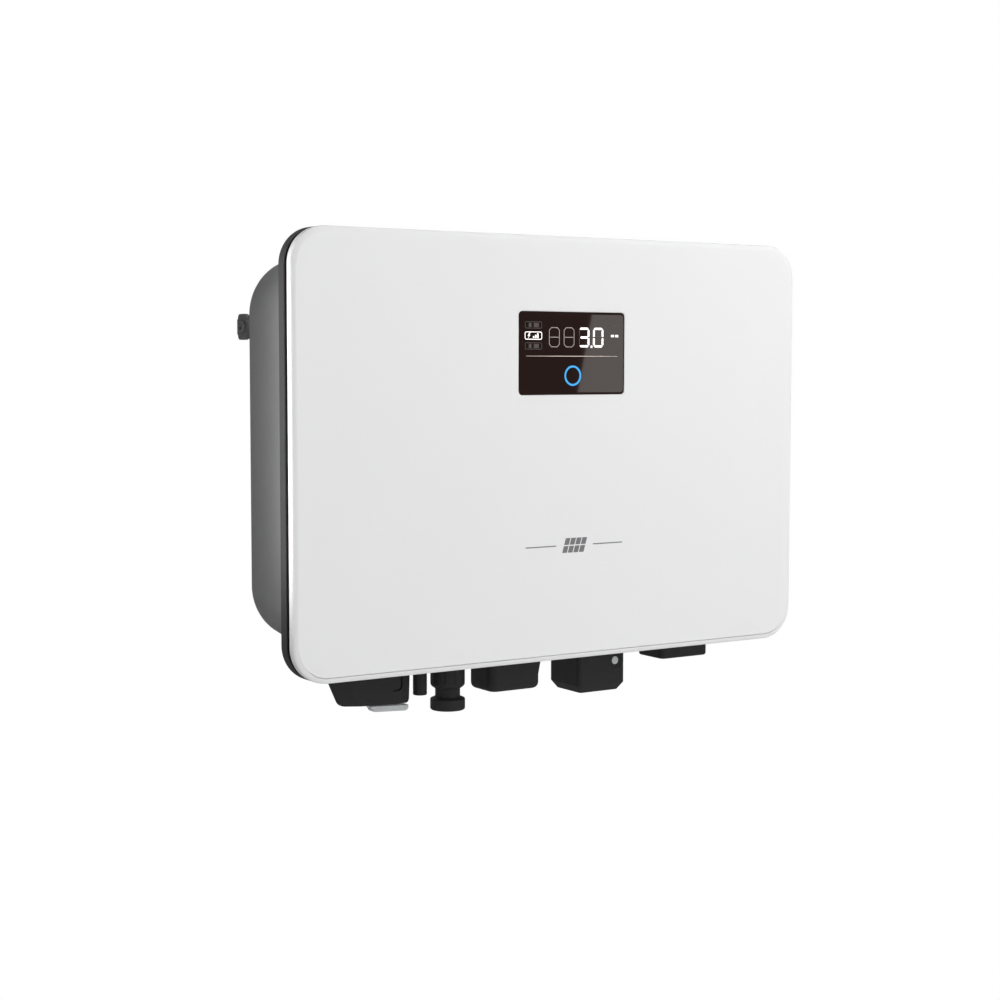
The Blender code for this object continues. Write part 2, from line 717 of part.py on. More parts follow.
TAB_FOOT_STATIONS = [  # left and right ends from the axis, half depth, z
    (-0.9, 22.2, 3.6, -135.1),
    (0.4, 22.2, 3.6, -136.6),
    (1.0, 21.6, 3.2, -138.0),
    (1.8, 20.6, 2.6, -138.4),
]
TAB_SLOPE = 0.055  # fall of the foot towards its right end


def foot_ring(left, right, half, z):
    points = ((left, -half), (left, half), (right, half), (right, -half))
    return [Vector((SWITCH_X + u, FIT_Y + v, z - TAB_SLOPE * (u + 0.9))) for u, v in points]


lock_tab = solid(
    "dc_switch_lock_tab",
    loft([foot_ring(*station) for station in TAB_FOOT_STATIONS]),
    "tab_grey",
    (SWITCH_X + 10, FIT_Y, -135.4),
)
add(lock_tab, block((SWITCH_X, SWITCH_X + 20.0), around(FIT_Y, 1.8), (-137.0, -119.8)))

# ---- PV receptacles ----------------------------------------------------------
# Profiles are of (radius, z).
CONTACT_TOP_Z = -86.0
NUT_Z0, NUT_Z1 = -96.8, -93.0
RECEPTACLE_NEG = [
    (1.8, -91.0), (5.0, -91.0), (5.0, SEAT_Z), (6.0, SEAT_Z), (6.0, -108.0),
    (4.6, -108.6), (3.8, -109.4), (3.8, -131.9), (3.4, -132.4), (2.7, -132.4),
    (2.5, -131.8), (2.5, -112.0), (1.8, -112.0),
]
RECEPTACLE_POS = [
    (1.8, -91.0), (6.0, -91.0), (6.0, SEAT_Z), (10.4, SEAT_Z), (10.4, -108.0),
    (9.4, -108.8), (9.4, -128.0), (8.6, -129.8), (6.8, -130.6), (6.8, -134.8),
    (8.9, -135.8), (9.5, -136.6), (9.5, -140.8), (8.4, -141.9), (6.4, -141.9),
    (6.0, -141.3), (6.0, -113.0), (1.8, -113.0),
]
CONTACT_NEG = [  # hollow at its lower end
    (0, CONTACT_TOP_Z), (1.5, CONTACT_TOP_Z), (1.5, -113.0), (2.2, -113.6),
    (2.2, -128.0), (1.3, -128.0), (1.3, -118.0), (0, -118.0),
]
CONTACT_POS = [
    (0, CONTACT_TOP_Z), (1.5, CONTACT_TOP_Z), (1.5, -114.0), (2.0, -114.6),
    (2.0, -131.5), (1.2, -133.0), (0, -133.0),
]
PV_POLES = [  # polarity, x, receptacle, its steps, contact, nut's inner and outer radius
    ("negative", PV_NEG_X, RECEPTACLE_NEG, 18, CONTACT_NEG, 5.3, 7.6),
    ("positive", PV_POS_X, RECEPTACLE_POS, 20, CONTACT_POS, 6.3, 8.9),
]
for polarity, x, receptacle, steps, contact, inner_r, outer_r in PV_POLES:
    nut = [(inner_r, NUT_Z0), (outer_r, NUT_Z0), (outer_r, NUT_Z1), (inner_r, NUT_Z1)]
    fitting(f"pv_receptacle_{polarity}", receptacle, x, steps, "black_plastic")
    fitting(f"pv_nut_{polarity}", nut, x, 12, "black_plastic", NUT_Z0)
    fitting(f"pv_contact_{polarity}", contact, x, 10, "copper", CONTACT_TOP_Z)

# ---- AC connector ------------------------------------------------------------
FLANGE_Z = -107.6  # underside of the socket flanges
PIN_XS = [AC_X + dx for dx in (-6.0, 0.0, 6.0)]
AC_SHELL_Z, AC_INSERT_Z, AC_SEAL_Z = -109.2, -121.2, -108.9

ac_socket = solid(
    "ac_socket",
    slab_z(33.6, 25.2, 5.0, FLANGE_Z, SEAT_Z, AC_X),
    "black_plastic",
    (AC_X, FIT_Y, SEAT_Z),
)
add(
    ac_socket,
    slab_z(21.2, 12.2, 3.0, -106.5, -94.0, AC_X),
    slab_z(22.0, 13.5, 4.0, -119.0, -107.0, AC_X),
)
cut(ac_socket, slab_z(19.0, 10.5, 3.0, -120.0, -109.5, AC_X))
add(ac_socket, *[chamfered_rod_z(1.2, -117.8, -109.0, x, 12, 0.3) for x in PIN_XS])

AC_SHELL_STATIONS = [  # width, depth, corner radius, z, x
    (34.6, 24.8, 5.0, AC_SHELL_Z, AC_X + 0.75),
    (34.6, 24.8, 5.0, -119.0, AC_X + 0.75),
    (33.1, 24.8, 5.0, -126.0, AC_X),
    (33.1, 24.8, 5.0, -130.4, AC_X),
    (32.3, 24.0, 4.7, -132.0, AC_X),
    (28.4, 20.1, 3.4, -133.6, AC_X),
]
ac_plug_shell = solid(
    "ac_plug_shell",
    loft([ring_z(*station) for station in AC_SHELL_STATIONS]),
    "black_plastic",
    (AC_X, FIT_Y, AC_SHELL_Z),
)
cut(ac_plug_shell, slab_z(23.0, 14.6, 4.5, -121.5, -108.0, AC_X))
cut(ac_plug_shell, rod_z(5.2, -135.0, -121.0, AC_X, 20))

ac_plug_insert = solid(
    "ac_plug_insert",
    slab_z(18.2, 9.8, 2.7, AC_INSERT_Z, -110.2, AC_X),
    "tab_grey",
    (AC_X, FIT_Y, AC_INSERT_Z),
)
cut(ac_plug_insert, *[rod_z(1.6, -119.0, -109.0, x, 12) for x in PIN_XS])

AC_SEAL_STATIONS = [  # width, depth, corner radius, z
    (29.0, 20.5, 5.2, -107.9),
    (29.0, 20.5, 5.2, AC_SEAL_Z),
    (23.4, 15.0, 4.6, AC_SEAL_Z),
    (23.4, 15.0, 4.6, -107.9),
]
solid(
    "ac_plug_seal",
    loft_z(AC_SEAL_STATIONS, AC_X, loop=True),
    "seal_rubber",
    (AC_X, FIT_Y, AC_SEAL_Z),
)

# ---- plug-in data dongle -------------------------------------------------------
COVERING_TOP_Z = -108.0  # top of the dongle's shell and of the data port's cap
DONGLE_AT = (DONGLE_X, DONGLE_Y)
DONGLE_BOARD_Z = -112.2
LENS_X, LENS_Z, LENS_BACK_Y = DONGLE_X + 9.4, -122.8, 30.5

dongle_socket = solid(
    "dongle_socket",
    slab_z(28.0, 20.0, 4.0, FLANGE_Z, SEAT_Z, *DONGLE_AT),
    "black_plastic",
    (*DONGLE_AT, SEAT_Z),
)
add(
    dongle_socket,
    slab_z(18.2, 10.2, 2.0, -106.5, -95.0, *DONGLE_AT),
    slab_z(16.0, 8.0, 2.0, -111.6, -107.0, *DONGLE_AT),
)

DONGLE_STATIONS = [  # width, depth, corner radius, z
    (32.1, 29.7, 2.5, COVERING_TOP_Z),
    (32.1, 29.7, 2.5, -135.4),
    (31.5, 29.1, 2.3, -136.0),
    (26.6, 24.2, 1.8, -139.6),
    (25.8, 23.4, 1.4, -140.0),
]
dongle_shell = solid(
    "dongle_shell",
    loft_z(DONGLE_STATIONS, *DONGLE_AT),
    "black_plastic",
    (*DONGLE_AT, COVERING_TOP_Z),
)
cut(
    dongle_shell,
    slab_z(22.0, 14.0, 2.0, -134.0, -107.0, *DONGLE_AT),
    *rods_y([(LENS_X, LENS_Z)], 2.6, 28.2, 30.8, 14),
)
solid(
    "dongle_board",
    block(around(DONGLE_X, 8.5), around(DONGLE_Y, 0.8), (-133.6, DONGLE_BOARD_Z)),
    "board_green",
    (*DONGLE_AT, DONGLE_BOARD_Z),
)
LENS = [(0, 29.2), (2.0, 29.2), (2.3, 29.5), (2.3, LENS_BACK_Y), (0, LENS_BACK_Y)]  # radius, y
solid(
    "dongle_status_lens",
    turned_y(LENS, LENS_X, LENS_Z, 14),
    "tab_grey",
    (LENS_X, LENS_BACK_Y, LENS_Z),
)

# ---- data port and its cap ------------------------------------------------------
com_socket = solid(
    "com_socket",
    slab_z(27.0, 19.0, 3.0, FLANGE_Z, SEAT_Z, COM_X),
    "black_plastic",
    (COM_X, FIT_Y, SEAT_Z),
)
add(
    com_socket,
    slab_z(16.2, 12.2, 2.0, -106.5, -95.0, COM_X),
    slab_z(18.0, 13.0, 2.0, -117.0, -107.0, COM_X),
)
cut(com_socket, block(around(COM_X, 7), around(FIT_Y, 4.5), (-118.0, -109.0)))

COM_CAP_STATIONS = [  # width, depth, corner radius, z
    (34.3, 24.2, 3.5, COVERING_TOP_Z),
    (34.3, 24.2, 3.5, -123.9),
    (33.5, 23.4, 3.2, -124.7),
    (31.9, 21.8, 2.4, -125.2),
]
com_cap = solid(
    "com_cap", loft_z(COM_CAP_STATIONS, COM_X), "black_plastic", (COM_X, FIT_Y, COVERING_TOP_Z)
)
# small block on the cap's right side
add(
    com_cap,
    block((COM_X + 16.0, COM_X + 18.2), (FIT_Y - 9.0, FIT_Y - 5.0), (-122.2, -119.4)),
)
cut(com_cap, slab_z(19.4, 14.4, 2.4, -119.0, -107.0, COM_X))

# ---- vent plug and earth point ----------------------------------------------------
WASHER_Z = SEAT_Z - 1.0
VENT = [  # radius, z
    (0, -98.0), (3.8, -98.0), (3.8, SEAT_Z), (6.6, SEAT_Z),
    (6.6, -108.2), (5.6, -109.2), (0, -109.2),
]
WASHER = [(2.3, SEAT_Z), (5.0, SEAT_Z), (5.0, WASHER_Z), (2.3, WASHER_Z)]  # radius, z
fitting("vent_plug", VENT, VENT_X, 20, "black_plastic")
fitting("earth_washer", WASHER, GROUND_X, 20, "screw_steel")
screw(
    "earth_screw", "Z", (GROUND_X, FIT_Y, 0), WASHER_Z - GAP, 1,
    head_r=3.8, head_h=2.8, shank_r=SHANK_R, length=10.0,
)

# ---- power board ---------------------------------------------------------------------
BOARD_OUTLINE = [  # x, z: notched at the lower left
    (-136.0, 86.0), (136.0, 86.0), (136.0, -82.0),
    (-32.0, -82.0), (-32.0, -48.0), (-136.0, -48.0),
]
power_board = solid(
    "power_board",
    prism_y(BOARD_OUTLINE, BOARD_Y0, BOARD_Y1),
    "board_green",
    (0.0, BOARD_Y1, 0.0),
)
cut(power_board, *rods_y(BOARD_POSTS, 1.8, 49.0, 53.0, 10))
for n, (x, z) in enumerate(BOARD_POSTS, 1):
    screw(
        f"board_screw_{n}", "Y", (x, 0, z), BOARD_Y0 - GAP, 1,
        head_r=2.9, head_h=2.1, shank_r=1.45, length=8.0, socket_r=1.2,
    )

# ---- parts on the power board ----------------------------------------------------------
PART_Y = BOARD_Y0 - GAP  # back of the parts on the board's front face
BOOST_X, BOOST_Z = -95.0, 41.0
FILTER_X, FILTER_Z = 96.0, 34.0
CHOKE_X, CHOKE_Z = -8.0, -62.0
CAPACITOR_Z, RELAY_Z = 62.0, -62.5
MODULE_X, MODULE_Z, MODULE_BACK_Y = 17.0, 10.0, 64.4
PAD_BACK_Y = 65.7
CONTROL_X, CONTROL_Z = 3.0, -22.8

# Turned parts, of (radius, y)
FILTER = [
    (13.0, 28.5), (16.0, 26.0), (27.0, 26.0), (30.0, 28.5),
    (30.0, PART_Y - 2), (28.0, PART_Y), (15.0, PART_Y), (13.0, PART_Y - 2),
]
CHOKE = [
    (6.5, 36.5), (8.0, 35.0), (14.5, 35.0), (16.0, 36.5),
    (16.0, PART_Y - 1.5), (14.5, PART_Y), (8.0, PART_Y), (6.5, PART_Y - 1.5),
]
CAPACITOR = [  # with a groove round it near the board
    (0, PART_Y), (12.0, PART_Y), (12.0, PART_Y - 2.2), (11.5, PART_Y - 2.8),
    (12.0, PART_Y - 3.4), (12.0, 19.0), (11.0, 18.0), (0, 18.0),
]

solid(
    "boost_inductor",
    block(around(BOOST_X, 30), (14.0, PART_Y), around(BOOST_Z, 29), 2.5),
    "housing_grey",
    (BOOST_X, PART_Y, BOOST_Z),
)
solid(
    "filter_inductor",
    turned_y(FILTER, FILTER_X, FILTER_Z, 20),
    "copper",
    (FILTER_X, PART_Y, FILTER_Z),
)
solid("emi_choke", turned_y(CHOKE, CHOKE_X, CHOKE_Z, 14), "ferrite", (CHOKE_X, PART_Y, CHOKE_Z))
for n, x in enumerate((-30.0, 0.0), 1):
    solid(
        f"dc_link_capacitor_{n}",
        turned_y(CAPACITOR, x, CAPACITOR_Z, 14),
        "capacitor_sleeve",
        (x, PART_Y, CAPACITOR_Z),
    )
for n, x in enumerate((34.0, 68.0), 1):
    solid(
        f"grid_relay_{n}",
        block(around(x, 14.5), (29.5, PART_Y), around(RELAY_Z, 7.5), 0.6),
        "relay_blue",
        (x, PART_Y, RELAY_Z),
    )

# behind the board, against the housing's floor
solid(
    "power_module",
    block(around(MODULE_X, 35), (BOARD_Y1 + GAP, MODULE_BACK_Y), around(MODULE_Z, 18), 0.8),
    "black_plastic",
    (MODULE_X, MODULE_BACK_Y, MODULE_Z),
)
solid(
    "thermal_pad",
    block(around(MODULE_X, 37), (MODULE_BACK_Y + GAP, PAD_BACK_Y), around(MODULE_Z, 20)),
    "pad_grey",
    (MODULE_X, PAD_BACK_Y, MODULE_Z),
)

# ---- control board, ribbon and leads -----------------------------------------------------
solid(
    "control_board",
    block(around(CONTROL_X, 55), (15.0, PART_Y), around(CONTROL_Z, 0.8)),
    "board_green",
    (CONTROL_X, PART_Y, CONTROL_Z),
)

# y, z: up from the control board to the display board
RIBBON_BACK = [(14.6, -25.0), (12.4, -14.0), (10.2, 2.0), (8.8, 18.0), (8.2, 32.0)]
RIBBON_FRONT = [(y - 0.8, z - 0.1) for y, z in RIBBON_BACK]
solid(
    "display_ribbon",
    prism_x(RIBBON_BACK + RIBBON_FRONT[::-1], -6.0, 19.0),
    "ribbon_grey",
    (6.5, *RIBBON_BACK[0]),
)

PV_LEADS = [  # polarity, x at the contact, at the bend and at the board, finish
    ("negative", PV_NEG_X, -60, -57, "lead_black"),
    ("positive", PV_POS_X, -46, -44, "lead_red"),
]
for polarity, contact_x, bend_x, board_x, finish in PV_LEADS:
    route = [
        (contact_x, FIT_Y, CONTACT_TOP_Z + 0.4),
        (contact_x, 40, -70),
        (bend_x, 38, -56),
        (board_x, 42, -42),
        (board_x, 49.5, -42),
    ]
    cable(f"pv_lead_{polarity}", route, 1.9, finish)
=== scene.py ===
# A wall-mounted solar inverter: a white cover with a glossy display window, a dark frame, a
# finned housing hung on a wall bracket, and plugs, a rotary switch and caps under its shelf.
#
# Design units are enclosure millimetres: x to the right, y = depth behind the cover's rim
# (towards the wall), z up from the cover's middle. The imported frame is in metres, with its
# origin on the wall at the middle of the bracket.
import json
import math

import bmesh
import bpy
from mathutils import Matrix, Vector


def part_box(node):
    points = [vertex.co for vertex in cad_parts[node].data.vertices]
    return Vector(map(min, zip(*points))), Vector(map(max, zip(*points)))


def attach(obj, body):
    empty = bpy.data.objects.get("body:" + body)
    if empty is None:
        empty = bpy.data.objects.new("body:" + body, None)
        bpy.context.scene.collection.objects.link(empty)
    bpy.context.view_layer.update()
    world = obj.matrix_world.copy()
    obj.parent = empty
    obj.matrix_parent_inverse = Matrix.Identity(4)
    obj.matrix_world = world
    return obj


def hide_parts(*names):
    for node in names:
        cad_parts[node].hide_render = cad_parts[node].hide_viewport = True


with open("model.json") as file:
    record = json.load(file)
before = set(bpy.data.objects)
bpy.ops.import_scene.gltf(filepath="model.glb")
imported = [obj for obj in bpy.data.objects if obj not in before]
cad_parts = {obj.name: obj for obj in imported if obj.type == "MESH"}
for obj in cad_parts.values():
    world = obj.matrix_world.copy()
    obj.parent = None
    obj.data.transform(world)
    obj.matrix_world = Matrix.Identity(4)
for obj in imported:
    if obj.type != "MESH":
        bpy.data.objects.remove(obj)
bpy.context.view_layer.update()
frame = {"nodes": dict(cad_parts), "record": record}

MM = 0.001
WALL_Y, BRACKET_Z = 115.0, 65.0
SHIFT = Vector((0.0, -WALL_Y, -BRACKET_Z))

COVER_WIDTH, COVER_HEIGHT, COVER_RADIUS = 320.0, 225.0, 19.0
FACE_Y, GLASS_Y = -4.97, -4.65
FRAME_FRONT_Y, FRAME_BACK_Y = 1.9, 9.5
FLANGE_FRONT_Y, FLANGE_BACK_Y = 9.9, 13.5
HOUSING_FLOOR_Y, HOUSING_BACK_Y, FIN_TIP_Y = 66.0, 71.0, 102.0
INNER_CORNER = 34.0  # inner rings have this corner radius less their inset
WINDOW_WIDTH, WINDOW_HEIGHT = 68.1, 43.6
SCREW_X, SCREW_Z = 148.0, 100.5
SHELF_Z, FIT_Y = -105.0, 41.0  # underside of the shelf, depth of the fittings' row
SEAT_Z = SHELF_Z - 0.3
SHELF_CUT = (-108.0, -92.0)
FIN_COUNT, FIN_PITCH = 23, 10.2
TONGUE_X, HANGER_SCREW_Z = 50.0, 60.0
LUG_X0, LUG_X1, EAR_X0, EAR_X1 = 126.5, 131.2, 131.5, 133.5
SECURITY_Y, SECURITY_Z = 107.2, 65.3
SIDES = (-1, 1)


def middle(node, axis):
    """Middle of a CAD node along an axis, in enclosure millimetres."""
    i = "XYZ".index(axis)
    low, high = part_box(node)
    return (low[i] + high[i]) * 500.0 - SHIFT[i]


WINDOW_X, WINDOW_Z = middle("display_window", "X"), middle("display_window", "Z")
SWITCH_X = middle("dc_switch_ring", "X")
NEGATIVE_X = middle("pv_receptacle_negative", "X")
POSITIVE_X = middle("pv_receptacle_positive", "X")
AC_X = middle("ac_plug_insert", "X")
DONGLE_X, DONGLE_Y = middle("dongle_shell", "X"), middle("dongle_shell", "Y")
VENT_X, EARTH_X = middle("vent_plug", "X"), middle("earth_screw", "X")
COM_X = middle("com_socket", "X")


# ---- procedural materials --------------------------------------------------------------
def new_node(tree, kind, inputs=None, **settings):
    """A shader node with its settings; an input that is itself a socket becomes a link."""
    node = tree.nodes.new("ShaderNode" + kind)
    for key, value in settings.items():
        setattr(node, key, value)
    for key, value in (inputs or {}).items():
        if isinstance(value, bpy.types.NodeSocket):
            tree.links.new(value, node.inputs[key])
        else:
            node.inputs[key].default_value = value
    return node


def remap(tree, value, low, high, start=0.3, stop=0.7):
    """Map a socket's value from start..stop to low..high."""
    inputs = {"From Min": start, "From Max": stop, "To Min": low, "To Max": high, "Value": value}
    return new_node(tree, "MapRange", inputs).outputs["Result"]


def procedural(
    name, base, rough, metal=0.0, coat=0.0, coat_rough=0.1, ior=1.5,
    grain=2200.0, grain_depth=0.00002, cells=0.0, streak=(1, 1, 1),
    mottle=0.05, rough_swing=0.06, edge_highlight=0.0, highlight_tint=(0.6, 0.6, 0.6), edge=0.00025,
):
    """A material from noise alone.

    grain and cells are the scales of the bump's noise and pits, grain_depth its depth in
    metres and streak stretches the noise. mottle varies the colour and rough_swing the
    roughness. edge_highlight is how far the edges turn to highlight_tint in patches, a painted
    highlight; edge is their radius in metres.
    """
    made = bpy.data.materials.new(name)
    made.use_nodes = True
    tree = made.node_tree
    shader = tree.nodes["Principled BSDF"]
    shader.inputs["Metallic"].default_value = metal
    shader.inputs["IOR"].default_value = ior
    shader.inputs["Coat Weight"].default_value = coat
    shader.inputs["Coat Roughness"].default_value = coat_rough
    where = new_node(tree, "TexCoord").outputs["Object"]
    place = new_node(tree, "Mapping", {"Scale": streak, "Vector": where}).outputs["Vector"]

    def noise(scale, detail):
        inputs = {"Scale": scale, "Detail": detail, "Vector": place}
        return new_node(tree, "TexNoise", inputs).outputs["Fac"]

    def toned(factor):
        return (*[min(1.0, c * factor) for c in base], 1)

    broad, fine = noise(scale=28.0, detail=4.0), noise(scale=grain, detail=3.0)
    tones = {"A": toned(1 - mottle), "B": toned(1 + mottle), "Factor": broad}
    colour = new_node(tree, "Mix", tones, data_type="RGBA").outputs["Result"]
    softened = new_node(tree, "Bevel", {"Radius": edge}, samples=4).outputs["Normal"]
    # painted highlight: the edges turn lighter towards the tint in patches, standing in for light
    # caught by the edges
    if edge_highlight:
        flat = new_node(tree, "NewGeometry").outputs["Normal"]
        dot = new_node(tree, "VectorMath", {0: softened, 1: flat}, operation="DOT_PRODUCT")
        at_edges = remap(tree, dot.outputs["Value"], low=edge_highlight, high=0.0, start=0.86, stop=0.995)
        patches = noise(scale=140.0, detail=5.0)
        patchy = remap(tree, patches, low=0.0, high=1.0, start=0.38, stop=0.62)
        highlight_mask = new_node(tree, "Math", {0: at_edges, 1: patchy}, operation="MULTIPLY")
        tones = {"B": (*highlight_tint, 1), "Factor": highlight_mask.outputs["Value"], "A": colour}
        colour = new_node(tree, "Mix", tones, data_type="RGBA").outputs["Result"]
    tree.links.new(colour, shader.inputs["Base Color"])
    low, high = max(0.02, rough - rough_swing), min(1.0, rough + rough_swing)
    uneven = remap(tree, noise(scale=90.0, detail=4.0), low, high)
    tree.links.new(uneven, shader.inputs["Roughness"])
    height = fine
    if cells:
        pits = new_node(tree, "TexVoronoi", {"Scale": cells, "Vector": place}).outputs["Distance"]
        height = new_node(tree, "Math", {0: fine, 1: pits}, operation="ADD").outputs["Value"]
    relief = {"Distance": grain_depth, "Strength": 0.6, "Height": height, "Normal": softened}
    bump = new_node(tree, "Bump", relief)
    tree.links.new(bump.outputs["Normal"], shader.inputs["Normal"])
    return made


def glowing(name, colour, strength, fade_x=None):
    """A glowing mark behind the window: lit marks, and unlit marks with a faint painted glow.

    fade_x is (middle, half width) in metres: the light dies away towards both ends.
    """
    made = procedural(name, [c * 0.6 for c in colour], rough=0.35, grain=1500.0, edge=0.00005)
    tree = made.node_tree
    shader = tree.nodes["Principled BSDF"]
    shader.inputs["Emission Color"].default_value = (*colour, 1)
    shader.inputs["Emission Strength"].default_value = strength
    if fade_x:
        mid_x, reach = fade_x
        where = next(n for n in tree.nodes if n.type == "TEX_COORD").outputs["Object"]
        split = new_node(tree, "SeparateXYZ", {"Vector": where}).outputs["X"]
        offset = new_node(tree, "Math", {0: split, 1: mid_x}, operation="SUBTRACT")
        size = new_node(tree, "Math", {0: offset.outputs["Value"]}, operation="ABSOLUTE")
        fade = remap(tree, size.outputs["Value"], strength, 0.0, start=reach * 0.25, stop=reach)
        tree.links.new(fade, shader.inputs["Emission Strength"])
    return made


FINISHES = {
    "cover_white": dict(
        base=(0.83, 0.832, 0.832), rough=0.36, coat=0.25, coat_rough=0.25,
        grain=1100.0, grain_depth=0.000012, mottle=0.008, rough_swing=0.03),
    "frame_grey": dict(
        base=(0.05, 0.05, 0.0515), rough=0.5, grain=2600.0, grain_depth=0.00003,
        edge_highlight=0.25, highlight_tint=(0.2, 0.2, 0.2)),
    "housing_grey": dict(
        base=(0.235, 0.235, 0.238), rough=0.46, metal=0.15, grain=1500.0, grain_depth=0.00005,
        mottle=0.06, cells=1300.0, edge_highlight=0.3, highlight_tint=(0.42, 0.42, 0.43), edge=0.0005),
    "black_plastic": dict(
        base=(0.030, 0.030, 0.0305), rough=0.42, grain=3200.0, grain_depth=0.00003,
        cells=2600.0, edge_highlight=0.35, highlight_tint=(0.075, 0.075, 0.075), edge=0.0003),
    "seal_rubber": dict(
        base=(0.004, 0.004, 0.004), rough=0.8, ior=1.25, grain=1800.0, grain_depth=0.00004,
        edge=0.0002),
    "window_black": dict(
        base=(0.017, 0.0075, 0.006), rough=0.022, ior=1.45, grain=60.0, grain_depth=0.0,
        mottle=0.15, rough_swing=0.002, coat_rough=0.02, edge=0.0002),
    "indicator_blue": dict(colour=(0.05, 0.42, 0.95), strength=0.8),
    "tab_grey": dict(
        base=(0.56, 0.58, 0.585), rough=0.4, grain=2400.0, grain_depth=0.00002, mottle=0.03,
        edge_highlight=0.2, highlight_tint=(0.7, 0.7, 0.7)),
    "bracket_steel": dict(
        base=(0.15, 0.15, 0.153), rough=0.48, metal=0.1, grain=1500.0, grain_depth=0.00006,
        cells=1100.0, edge_highlight=0.5, highlight_tint=(0.3, 0.3, 0.31)),
    "screw_steel": dict(
        base=(0.56, 0.56, 0.57), rough=0.27, metal=1.0, grain=1200.0, grain_depth=0.00001,
        rough_swing=0.08, streak=(1, 1, 6), edge_highlight=0.3, highlight_tint=(0.8, 0.8, 0.8)),
    "board_green": dict(
        base=(0.018, 0.11, 0.05), rough=0.38, coat=0.3, grain=700.0, grain_depth=0.00003,
        mottle=0.18, cells=420.0),
    "copper": dict(
        base=(0.78, 0.4, 0.22), rough=0.3, metal=1.0, grain=900.0, grain_depth=0.00008,
        streak=(1, 1, 5), mottle=0.12),
    "capacitor_sleeve": dict(
        base=(0.03, 0.035, 0.05), rough=0.32, coat=0.3, grain=900.0, grain_depth=0.00003,
        mottle=0.1),
    "ferrite": dict(
        base=(0.09, 0.09, 0.1), rough=0.62, grain=1300.0, grain_depth=0.00012, cells=900.0,
        mottle=0.15),
    "relay_blue": dict(
        base=(0.06, 0.1, 0.2), rough=0.38, grain=2200.0, edge_highlight=0.2, highlight_tint=(0.2, 0.25, 0.4)),
    "lead_red": dict(
        base=(0.5, 0.03, 0.02), rough=0.48, grain=800.0, grain_depth=0.00005, mottle=0.12),
    "lead_black": dict(
        base=(0.02, 0.02, 0.02), rough=0.5, grain=800.0, grain_depth=0.00005, mottle=0.15),
    "ribbon_grey": dict(
        base=(0.5, 0.5, 0.52), rough=0.55, grain=900.0, grain_depth=0.00006, streak=(8, 1, 1),
        mottle=0.1),
    "pad_grey": dict(
        base=(0.45, 0.47, 0.52), rough=0.8, grain=1100.0, grain_depth=0.00008, mottle=0.1),
}
MATERIALS = {
    name: (glowing if "strength" in finish else procedural)(name, **finish)
    for name, finish in FINISHES.items()
}
MARK_GREY = procedural(
    "printed_mark", base=(0.19, 0.19, 0.195), rough=0.42,
    grain=2600.0, grain_depth=0.000005, mottle=0.06)
LIT = glowing("display_lit", colour=(1.0, 0.97, 0.95), strength=1.15)
# the unlit marks glow faintly too: painted light standing in for room light on the unlit segments
DIM = glowing("display_dim", colour=(0.56, 0.5, 0.47), strength=0.22)
FAINT = glowing("display_faint", colour=(0.13, 0.112, 0.105), strength=0.12)
RULE = glowing(
    "display_rule", colour=(1.0, 0.85, 0.75), strength=0.75,
    fade_x=((WINDOW_X + SHIFT.x) * MM, 0.0295))
TOUCH = glowing("touch_mark_blue", colour=(0.045, 0.38, 0.80), strength=0.72)

SLOT_OF = {row["node"]: row["material_slot"] for row in frame["record"]["subparts"]}
BODY_OF = {n: b for b, ns in frame["record"]["behaviour"]["bodies"].items() for n in ns}
for node, obj in frame["nodes"].items():
    obj.data.materials.clear()
    obj.data.materials.append(MATERIALS[SLOT_OF[node]])


# ---- outlines and rings ----------------------------------------------------------------
def rounded(width, height, radius, steps=16):
    """Points of a rounded rectangle about the origin."""
    radius = min(radius, width / 2 - 0.01, height / 2 - 0.01)
    points = []
    for quadrant, (side_u, side_v) in enumerate(((1, 1), (-1, 1), (-1, -1), (1, -1))):
        for i in range(steps + 1):
            angle = math.pi / 2 * (quadrant + i / steps)
            points.append((
                side_u * (width / 2 - radius) + radius * math.cos(angle),
                side_v * (height / 2 - radius) + radius * math.sin(angle),
            ))
    return points


def quarter(step, start=0):
    """(sine, cosine) of the angles from start to 90 degrees."""
    angles = [math.radians(a) for a in range(start, 91, step)]
    return [(math.sin(a), math.cos(a)) for a in angles]


def ring_y(width, height, radius, y, mid_x=0.0, mid_z=0.0, steps=16):
    outline = rounded(width, height, radius, steps)
    return [Vector((mid_x + u, y, mid_z + v)) for u, v in outline]


def rings_z(rows, mid_x, mid_y=FIT_Y):
    """Level rings from rows of (width, depth, corner radius, z)."""
    return [
        [Vector((mid_x + u, mid_y + v, z)) for u, v in rounded(width, depth, radius, 12)]
        for width, depth, radius, z in rows
    ]


def window_rings(rows):
    """Rings about the window from rows of (growth, corner radius, y)."""
    return [
        ring_y(WINDOW_WIDTH + grow, WINDOW_HEIGHT + grow, radius, y, WINDOW_X, WINDOW_Z)
        for grow, radius, y in rows
    ]


def inset_ring(inset, y, radius=None):
    """The cover's outline drawn in by inset."""
    radius = COVER_RADIUS - inset if radius is None else radius
    return ring_y(COVER_WIDTH - 2 * inset, COVER_HEIGHT - 2 * inset, radius, y, steps=20)


def inset_rings(*rows):
    """Rings from rows of (inset, y) or (inset, y, corner radius)."""
    return [inset_ring(*row) for row in rows]


def inner_rings(*rows):
    """Rings from rows of (inset, y), with the larger inner corners."""
    return [inset_ring(inset, y, INNER_CORNER - inset) for inset, y in rows]


def at_corners(x, z, mid_x=0.0, mid_z=0.0):
    return [(mid_x + side_x * x, 0, mid_z + side_z * z) for side_x in SIDES for side_z in SIDES]


def fit_at(x):
    """The vertical axis of a fitting under the shelf."""
    return (x, FIT_Y, 0)


